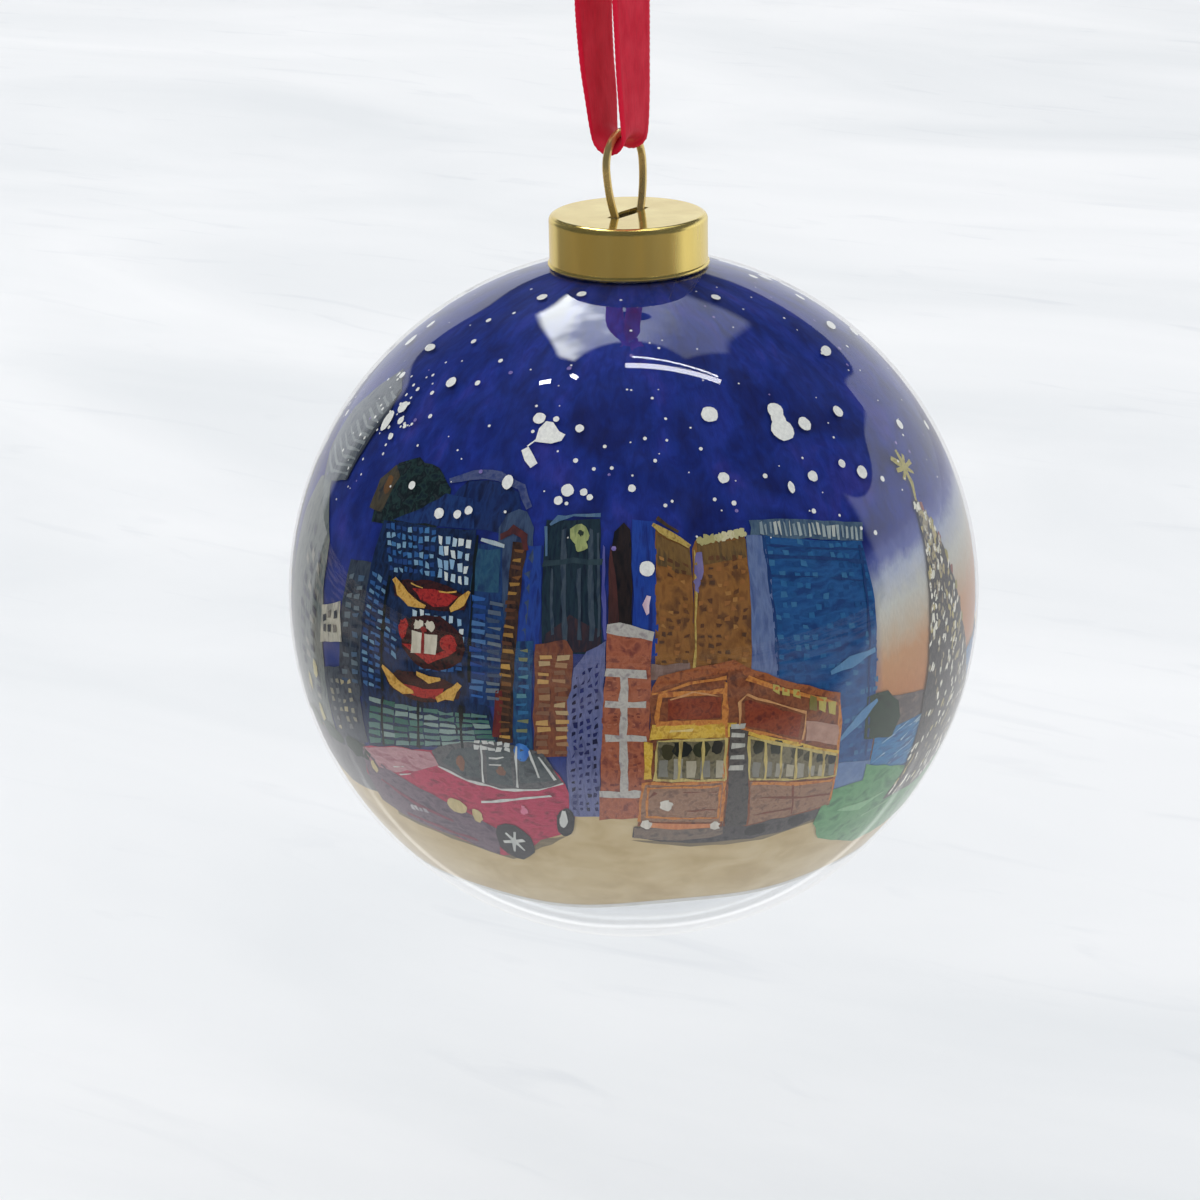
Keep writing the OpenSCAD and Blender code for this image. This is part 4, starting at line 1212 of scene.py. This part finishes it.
    painted("tram_marks",
            [stroke([(2, -15.4), (3.2, -14.2)], 0.5), stroke([(7.6, -14.4), (13.2, -14.8)], 0.4),
             stroke([(7.8, -18.2), (13.2, -18.4)], 0.4),
             stroke([(20, -17), (27, -18.4), (34.6, -19.6)], 0.5),
             stroke([(20.2, -20.6), (27, -20.6)], 0.4), stroke([(26.6, -15.8), (27.4, -21.8)], 0.5)], 9,
            paint("tram_red", (112, 66, 48), (126, 60, 44)))
    painted("tram_wheels", [blob(21, -24.2, 1.9, 1.3), blob(29, -23.8, 1.7, 1.2)], 6,
            paint("tram_wheel", (36, 36, 42), (50, 50, 54)))


def paint_car():
    """A red saloon car seen from its front corner."""
    red = paint("car_red", (156, 30, 64), (182, 48, 84), (128, 28, 58), stroke=(4, 8))
    pink = paint("car_pink", (164, 116, 124), (180, 136, 140), (150, 92, 104), stroke=(3, 8))
    dark = paint("car_dark", (78, 80, 82), (98, 98, 100), (62, 64, 68), stroke=(6, 8))
    glass = paint("car_glass", (62, 72, 76), (84, 92, 94), (50, 58, 64), stroke=(5, 7))
    white = paint("car_white", (184, 186, 182), (208, 208, 202), mottle=0.1)
    body = [(-54.3, -20.3), (-52.5, -14.3), (-43.5, -11.6), (-35, -10.2), (-27.2, -8.4), (-14.5, -8.2),
            (-11.5, -12.9), (-10.4, -16.2), (-10.2, -19.2), (-11.2, -22.6), (-16.9, -25.1), (-21.3, -29.2),
            (-25.7, -30.6), (-34.6, -28.3), (-44, -27.4), (-53.1, -25.5)]
    painted("car_body", [body], 5, red)
    painted("car_hood",
            [[(-52.7, -14.6), (-43.5, -11.8), (-35.2, -10.4), (-33.9, -12.8), (-38, -14.6), (-45, -17),
              (-51, -17.4)]], 6, pink)
    painted("car_roof",
            [[(-35.1, -10.4), (-31.2, -8.3), (-26, -7), (-21.9, -6.3), (-14.5, -7.6), (-11.8, -12.7),
              (-16, -14.4), (-22.4, -15.1), (-28.4, -14.5), (-33.9, -12.8)]], 6, dark)
    windows = [[(-33, -11.9), (-30.7, -9.1), (-26, -7.8), (-26, -13.7), (-29, -13.7)],
               [(-24.5, -7.6), (-19.9, -7), (-20.3, -14), (-24.8, -14.2)],
               [(-18.4, -7), (-14.8, -8.4), (-12.6, -12.2), (-19, -13.7)]]
    painted("car_windows", windows, 7, glass)
    posts = [[(-25.2, -7.4), (-25.5, -14.3)], [(-19, -6.6), (-19.6, -14.4)], [(-17, -7.2), (-15.6, -12)],
             [(-15.4, -8.2), (-13, -12.2)],
             [(-34, -12.9), (-28.6, -14.5), (-22.4, -15.1), (-16, -14.4), (-11.8, -12.7)]]
    painted("car_window_posts", [stroke(line, 0.45, 0.7) for line in posts], 8, white)
    painted("car_lamp_block",
            panes([(-26.7, -8.4), (-20, -7.9), (-19.9, -6), (-26.5, -6.4)], 5, 2, 0.8, 0.75), 8, white)
    painted("car_window_glints",
            [stroke([(-24, -9.5), (-21.2, -9)], 0.6), stroke([(-24.2, -10.8), (-22, -10.4)], 0.5)], 8,
            white)
    painted("car_driver", [blob(-29.3, -11.3, 0.8, 1.4), blob(-22, -11.6, 0.7, 0.9)], 8,
            paint("driver_orange", (140, 96, 72), (116, 80, 64)))
    grille = [(-53, -15), (-45.5, -17), (-37.1, -19.2), (-29, -22), (-25.2, -24), (-25.4, -27),
              (-26.4, -30.4), (-34.5, -28.2), (-44, -27.4), (-53.2, -25.6), (-54, -21)]
    painted("car_front", [grille], 6,
            paint("car_plum", (92, 76, 92), (114, 96, 108), (78, 64, 82), stroke=(4, 7)))
    painted("car_front_red", [stroke([(-50, -20), (-42, -22.6), (-34, -24.2)], 0.8, 0.6),
                              stroke([(-46, -26), (-38, -26.6), (-30, -27.6)], 0.7, 0.6)], 7,
            paint("car_wine", (116, 56, 76), (134, 70, 88)))
    painted("car_front_greys",
            panes([(-44, -24.3), (-39.4, -24), (-39.6, -22.9), (-44, -23.1)], 4, 1, 0.7, 0.8), 8,
            pick("car_greys", (184, 180, 182), (160, 156, 162)))
    painted("car_lights",
            [blob(-32.1, -20.4, 1.9, 1.4, -0.3), blob(-28.3, -21.6, 1.0, 1.4),
             blob(-50.6, -17.6, 0.8, 1.2)], 8, paint("car_yellow", (186, 168, 120), (204, 186, 140)))
    painted("car_hood_marks",
            [stroke([(-43.6, -17), (-40.6, -16)], 0.5, 0.3),
             stroke([(-44.6, -15.8), (-42, -15)], 0.5, 0.3)], 8, white)
    painted("car_side_stripe", [stroke([(-26.8, -18.5), (-20.5, -16.9), (-13.9, -15.3)], 0.6, 0.5)], 7,
            white)
    painted("car_side_mark", [blob(-19, -18.8, 0.6, 0.8)], 8,
            paint("car_rose", (206, 112, 140), (214, 136, 156)))
    tyre = paint("tyre", (44, 46, 52), (60, 60, 66), stroke=(9, 9))
    painted("car_tyres",
            [blob(-22.2, -26.4, 3.3, 4.2, rough=0.03), blob(-12, -20.6, 1.5, 3.1, -0.1, rough=0.03)], 8,
            tyre)
    spokes = [stroke([(-22.2 - 2.1 * math.cos(a), -26.2 - 2.5 * math.sin(a)), (-22.2, -26.2),
                      (-22.2 + 2.1 * math.cos(a), -26.2 + 2.5 * math.sin(a))], 0.8, 0.5)
              for a in (0.2, 1.25, 2.3)]
    painted("car_hubs", [*spokes, blob(-12.2, -20, 0.7, 1.8, -0.1)], 9, white)


TREE_WEST = [(50.9, -26), (54.3, -21.4), (55, -13.7), (55.2, -6.5), (55.7, 0.4), (56.9, 8.5), (58.7, 17.2),
             (59, 20.6), (59.3, 24.5)]
TREE_EAST = [(66, -27), (80, -22), (82, -15), (74.9, -7.9), (69.4, 1.4), (67.1, 8.8), (64.9, 15.5),
             (63, 20.3), (60.6, 24.8)]


def along_edge(points, lat):
    """The longitude at lat on a line of points that climbs."""
    for (a, low), (b, high) in zip(points, points[1:]):
        if low <= lat <= high:
            return a + (b - a) * (lat - low) / (high - low)
    return points[0][0] if lat < points[0][1] else points[-1][0]


def water_top(lon):
    """Latitude of the water's far edge, which climbs to the right."""
    return -9.9 + 5.7 * min(1, max(0, (lon - 56) / 18))


def paint_harbour():
    """The water, lawn, tree and star at the right."""
    hill = paint("hill_green", (24, 50, 38), (38, 64, 46), (18, 40, 32), stroke=(8, 8))
    painted("hill",
            [[(40, -3.2), (41.9, -2.9), (44.5, -3.4), (47.6, -5.9), (48.7, -8.9), (47.1, -12.1),
              (40, -10.6)]], 5, hill)
    painted("hill_far", [[(46, -4.6), (58, -6.6), (62, -8), (60, -12.6), (46, -11)]], 3,
            paint("hill_brown", (104, 92, 88), (88, 80, 82), (120, 106, 98), stroke=(5, 6)))
    water = paint("water_blue", (20, 96, 156), (44, 124, 172), (18, 74, 132), stroke=(3, 14), mottle=0.3)
    coat("harbour_water", lambda lon: -22, water_top, 4, water, 42, 140)
    foam = [stroke([(lon, lat), (lon + rng.uniform(1.5, 4), lat + rng.uniform(0.3, 1.3))], 0.4, 0.3)
            for lon, lat in ((rng.uniform(42, 54), rng.uniform(-18, -11)) for _ in range(20))]
    foam += [stroke([(lon, lat), (lon + 3, lat)], 0.3, 0.3)
             for lon, lat in ((rng.uniform(80, 138), rng.uniform(-14, -5.5)) for _ in range(40))]
    painted("harbour_foam", foam, 7, paint("foam_pale", (140, 184, 210), (180, 206, 218), mottle=0.1))
    lawn = paint("lawn_green", (76, 136, 92), (98, 154, 106), (62, 118, 82), stroke=(3, 4), mottle=0.14)
    painted("lawn",
            [[(33.8, -18.8), (33.2, -25.7), (36, -30), (48.8, -35.2), (62, -36), (84, -33), (106, -24),
              (100, -17), (80, -19), (66, -21.5), (55.6, -20.6), (47, -17.6), (41.8, -15.6), (42, -19)]], 7,
            lawn)
    painted("lawn_light",
            [stroke([(38, -24), (44, -25), (50, -24)], 1.6, 0.3), stroke([(46, -28), (54, -27)], 1.0, 0.3)],
            8, paint("lawn_pale", (120, 172, 126), (136, 182, 138)))
    bark = paint("tree_dark", (62, 60, 64), (84, 80, 80), (48, 50, 56), (96, 90, 84), stroke=(9, 6))
    painted("tree_cone", [TREE_WEST[::-1] + TREE_EAST], 8, bark)
    dabs = []
    for _ in range(330):
        lat = rng.uniform(-26, 24)
        west, east = along_edge(TREE_WEST, lat), along_edge(TREE_EAST, lat)
        lon = west + (east - west) * rng.random()
        dabs.append(blob(lon, lat, rng.uniform(0.24, 0.4), rng.uniform(0.5, 0.9), rng.uniform(-0.7, 0.1),
                         8))
    painted("tree_lights", dabs, 9,
            pick("tree_dabs", (216, 214, 198), (184, 170, 116), (232, 228, 214), (160, 150, 122),
                 (140, 128, 106)))
    painted("tree_edge_lights",
            [blob(along_edge(TREE_EAST, lat), lat, 0.5, 0.8) for lat in range(2, 24, 3)], 9,
            pick("edge_dabs", (140, 84, 76), (150, 140, 80), (110, 96, 84)))
    star = paint("star_gold", (158, 148, 76), (178, 168, 96), (134, 124, 66), stroke=(12, 12))
    rays = []
    for a, reach in zip((0.1, 0.9, 1.6, 2.4, 3.1, 3.9, 4.7, 5.6), (3.0, 2.4, 3.2, 3.6, 2.8, 2.6, 3.4, 2.6)):
        rays.append(stroke([(61.4, 29.9), (61.4 + reach * math.cos(a) / 0.9, 29.9 + reach * math.sin(a))],
                           1.1, 0.6))
    rays.append(stroke([(61.4, 29), (61.5, 27.2), (60.2, 24.4)], 0.9, 0.6))
    painted("tree_star", rays, 9, star)


def paint_far_left():
    """The lattice, the grey blocks and the slim dark tower on the left edge."""
    grey = paint("far_grey", (104, 112, 112), (124, 130, 126), (84, 94, 98), stroke=(10, 3))
    painted("far_left_marks",
            panes([(-74, -12), (-64.4, -11), (-65, 15), (-73, 20)], 3, 12, 0.6, 0.5, 0.3, 0.2), 5,
            pick("far_marks", (150, 148, 140), (72, 78, 92), (96, 100, 110)))
    painted("far_left_blocks",
            [[(-83, -17), (-62.5, -15), (-62, -4), (-62.4, 8), (-64, 18), (-73, 26.6), (-80, 25),
              (-83, 18)]], 3, grey)
    for number, (west, top) in enumerate(((-90.6, 10), (-98, 19))):
        painted(f"left_shore_block_{number}", [box(west, -14, west + 7.2, top)], 3,
                paint(f"shore_wall_{number}", (66 + 20 * number, 74, 96 - 20 * number), (84, 92, 106),
                      stroke=(8, 3)))
        painted(f"left_shore_lights_{number}",
                panes(box(west + 0.7, -12, west + 6.5, top - 1), 4, 9 + 4 * number, 0.5, 0.5, 0.15), 5,
                pick(f"shore_lights_{number}", (206, 178, 116), (120, 140, 156), (90, 92, 100)))
    painted("far_left_lattice",
            [[(-77, 25), (-84, 30), (-84, 37), (-78, 44), (-74, 48), (-66, 45), (-64.6, 40.5), (-66, 34.5),
              (-65.4, 28)]], 4,
            paint("lattice_grey", (84, 92, 100), (108, 114, 118), (66, 74, 88), stroke=(10, 4)))
    bars = [stroke([(-82 + 1.2 * k, 29 + 1.5 * k), (-74 + 0.8 * k, 27.5 + 1.6 * k), (-66, 29 + 1.4 * k)],
                   0.6, 0.7) for k in range(11)]
    painted("far_left_lattice_bars", bars, 6, paint("lattice_pale", (146, 152, 152), (120, 128, 132)))
    painted("far_left_lattice_edge", [stroke([(-66, 28), (-65.4, 34), (-64.6, 41), (-66.6, 45)], 0.9, 0.6)],
            6, paint("lattice_dark", (48, 54, 66), (64, 70, 80)))
    column = [(-56.4, -6), (-47.4, -4), (-47.6, 8), (-49.8, 18), (-55.6, 17)]
    painted("far_left_slim", [column], 2,
            paint("slim_slate", (44, 56, 74), (60, 72, 86), (34, 42, 62), stroke=(9, 3)))
    painted("far_left_slim_panes",
            panes([(-55.8, -4), (-49.8, -3), (-50.6, 16), (-55.2, 15)], 2, 12, 0.6, 0.5, 0.1), 4,
            pick("slim_panes", (70, 96, 122), (52, 78, 108), (96, 112, 122), (36, 50, 72)))
    painted("far_left_cornice", [[(-62.8, 1.2), (-55, 3.6), (-56.4, 9.8), (-62.6, 7.4)]], 5,
            paint("far_ivory", (170, 166, 150), (190, 186, 170), (140, 138, 132)))
    painted("far_left_cornice_marks",
            panes([(-62, 2.4), (-56, 4.6), (-57, 8.8), (-62, 6.8)], 3, 2, 0.55, 0.6), 7,
            pick("cornice_marks", (92, 92, 96), (70, 74, 82), (120, 116, 110)))
    painted("far_left_low", [[(-61.4, -17), (-50.6, -13), (-50.4, -3), (-53.6, 0), (-62, -3)]], 4,
            paint("low_slate", (58, 66, 82), (76, 84, 94), (46, 52, 70), stroke=(7, 4)))
    painted("far_left_low_panes",
            panes([(-60.4, -14), (-52, -11.4), (-52.4, -2), (-60.4, -4)], 4, 6, 0.5, 0.5, 0.15), 6,
            pick("low_panes", (170, 160, 128), (112, 116, 118), (140, 136, 120)))
    painted("far_left_lamps",
            [blob(-66, -4.6, 1.0, 1.6), blob(-67, -12.7, 1.0, 1.7), blob(-70, -8, 0.9, 1.4)], 7,
            paint("lamp_straw", (196, 186, 130), (176, 164, 110)))
    painted("left_pavement",
            [[(-104, -13), (-88, -16), (-62, -16.4), (-52, -13.4), (-53, -24), (-66, -26), (-104, -20)]], 3,
            paint("pavement_slate", (84, 84, 92), (104, 102, 106), (66, 68, 80)))


def paint_back():
    """The rest of the way round: a harbour with towers on both shores, boats, hills and a moon."""
    walls = [paint(f"back_wall_{k}", *colours, stroke=(8, 3)) for k, colours in enumerate((
        ((30, 44, 78), (46, 62, 100)), ((70, 48, 44), (98, 66, 52)), ((44, 70, 84), (64, 96, 106)),
        ((104, 78, 48), (134, 98, 54)), ((72, 70, 104), (92, 90, 124))))]
    lights = [pick(f"back_lights_{k}", *colours)
              for k, colours in enumerate((((214, 180, 104), (190, 140, 70), (90, 84, 80)),
                                           ((130, 166, 190), (70, 104, 140), (190, 204, 206)),
                                           ((226, 200, 140), (60, 50, 50), (170, 110, 60)),
                                           ((120, 176, 160), (60, 110, 104), (200, 210, 190))))]
    lon = 141.0
    number = 0
    while lon < 262:
        width = rng.uniform(7, 13)
        top = rng.uniform(4, 27) if number % 2 else rng.uniform(14, 31)
        layer = 3 + 2 * (number % 2)
        corners = [(lon, -9), (lon + width, -9), (lon + width - 0.4, top), (lon + 0.4, top)]
        painted(f"back_tower_{number:02d}", [corners], layer, walls[number % 5])
        rows = max(4, round((top + 9) / 1.9))
        inner = [(lon + 0.8, -8), (lon + width - 0.8, -8), (lon + width - 1.2, top - 1),
                 (lon + 1.2, top - 1)]
        painted(f"back_lights_{number:02d}", panes(inner, round(width / 1.5), rows, 0.55, 0.5, 0.15),
                layer + 1, lights[number % 4])
        if number % 3 == 0:
            spire = [(lon + width * 0.5 - 0.5, top), (lon + width * 0.5 + 0.5, top),
                     (lon + width * 0.5, top + 6)]
            painted(f"back_spire_{number:02d}", [spire], layer, walls[number % 5])
        lon += width * rng.uniform(0.78, 1.02)
        number += 1
    quay = paint("quay_stone", (120, 108, 96), (146, 132, 114), (100, 90, 84), stroke=(3, 8))
    coat("back_quay", lambda lon: -19, lambda lon: -8.4 + 0.4 * math.sin(lon / 5), 8, quay, 138,
         258)
    lamps = [stroke([(x, -12), (x, -5)], 0.5, 1) for x in range(146, 256, 12)]
    painted("quay_lamp_posts", lamps, 9, paint("lamp_iron", (30, 34, 40), (48, 50, 56)))
    painted("quay_lamps", [blob(x, -4.4, 1.0, 1.2) for x in range(146, 256, 12)], 9,
            paint("lamp_glow", (232, 200, 120), (240, 222, 160)))
    trees = [blob(x, -10 + rng.uniform(-0.5, 0.5), rng.uniform(2, 2.8), rng.uniform(2.4, 3.4), rough=0.12)
             for x in range(152, 256, 12)]
    painted("quay_trees", trees, 9, pick("quay_greens", (40, 88, 58), (58, 110, 70), (30, 70, 54)))
    ridge = [(96, -5)] + [(96 + 5 * k, 3 + 4.5 * math.sin(k * 0.8) + 2 * math.sin(k * 2.1))
                          for k in range(11)] + [(148, -5)]
    painted("far_hills", [ridge], 1,
            paint("hills_blue", (44, 62, 96), (58, 78, 110), (34, 48, 80), stroke=(3, 5)))
    hulls, cabins, sails = [], [], []
    for x, y, size in ((92, -8, 3.2), (108, -11, 4.4), (125, -7.6, 3.0), (134, -12, 3.6)):
        hulls.append([(x - size, y), (x + size, y), (x + size * 0.7, y - 1.8), (x - size * 0.7, y - 1.8)])
        cabins.append(box(x - size * 0.5, y, x + size * 0.2, y + 1.6))
        sails.append([(x + size * 0.25, y), (x + size * 0.95, y + 0.3), (x + size * 0.3, y + 5.6)])
    painted("boat_hulls", hulls, 8, pick("hull_colours", (140, 40, 36), (40, 60, 96), (120, 74, 44)))
    painted("boat_cabins", cabins, 8, paint("cabin_white", (206, 202, 192), (226, 222, 210)))
    painted("boat_sails", sails, 8, pick("sail_colours", (196, 96, 50), (214, 190, 140), (176, 60, 44)))
    painted("moon", [blob(196, 50, 5, rough=0.01, sides=40)], 4,
            paint("moon_cream", (226, 220, 190), (240, 236, 214), stroke=(5, 5), mottle=0.08))
    mounds = [blob(x, -15.4, rng.uniform(3, 5), 1.7, rough=0.08) for x in range(-100, -52, 9)]
    painted("left_shrubs", mounds, 6, pick("shrub_greens", (44, 70, 56), (34, 56, 48), (60, 84, 60)))


# ---------------------------------------------------------------- the scene
place_camera()
satin_ribbon = satin("ribbon_satin", (200, 4, 44), (222, 14, 54), (220, 48, 70))
ribbon_loop, ribbon_line = make_ribbon(satin_ribbon)
knot = make_knot(satin_ribbon)

dress("glass_ball", glass_material())
dress("metal_cap",
      metal("cap_metal", (246, 224, 140), (228, 200, 110), 0.25, (240, 240, 16), bump=0.04, metallic=0.88))
dress("wire_hanger",
      metal("wire_metal", (240, 214, 144), (220, 190, 122), 0.26, (260, 260, 120), bump=0.03, metallic=0.8))

paint_sky()
paint_ground()
paint_snow()
paint_left_tower()
paint_left_group()
paint_clock_tower()
paint_brick_block()
paint_gold_towers()
paint_blue_tower()
paint_harbour()
paint_far_left()
paint_tram()
paint_car()
paint_back()
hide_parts("skyline_paint")
make_floor()
make_world()
bpy.context.scene.view_settings.view_transform = "Standard"
light_panel("ceiling_tubes_wide", (-168, 83), (104, 66), 0.09, 3.2)
light_panel("ceiling_tube_thin", (178, 79.5), (109, 66.5), 0.03, 1.2)
light_panel("ceiling_spot_low", (-106, 66), (-106, 69), 0.07, 0.8)
light_panel("ceiling_spot_high", (-112, 74), (-106, 76), 0.05, 0.5)
light_panel("soft_key", (-160, 62), (-120, 62), 1.4, 13, mirrored=False)
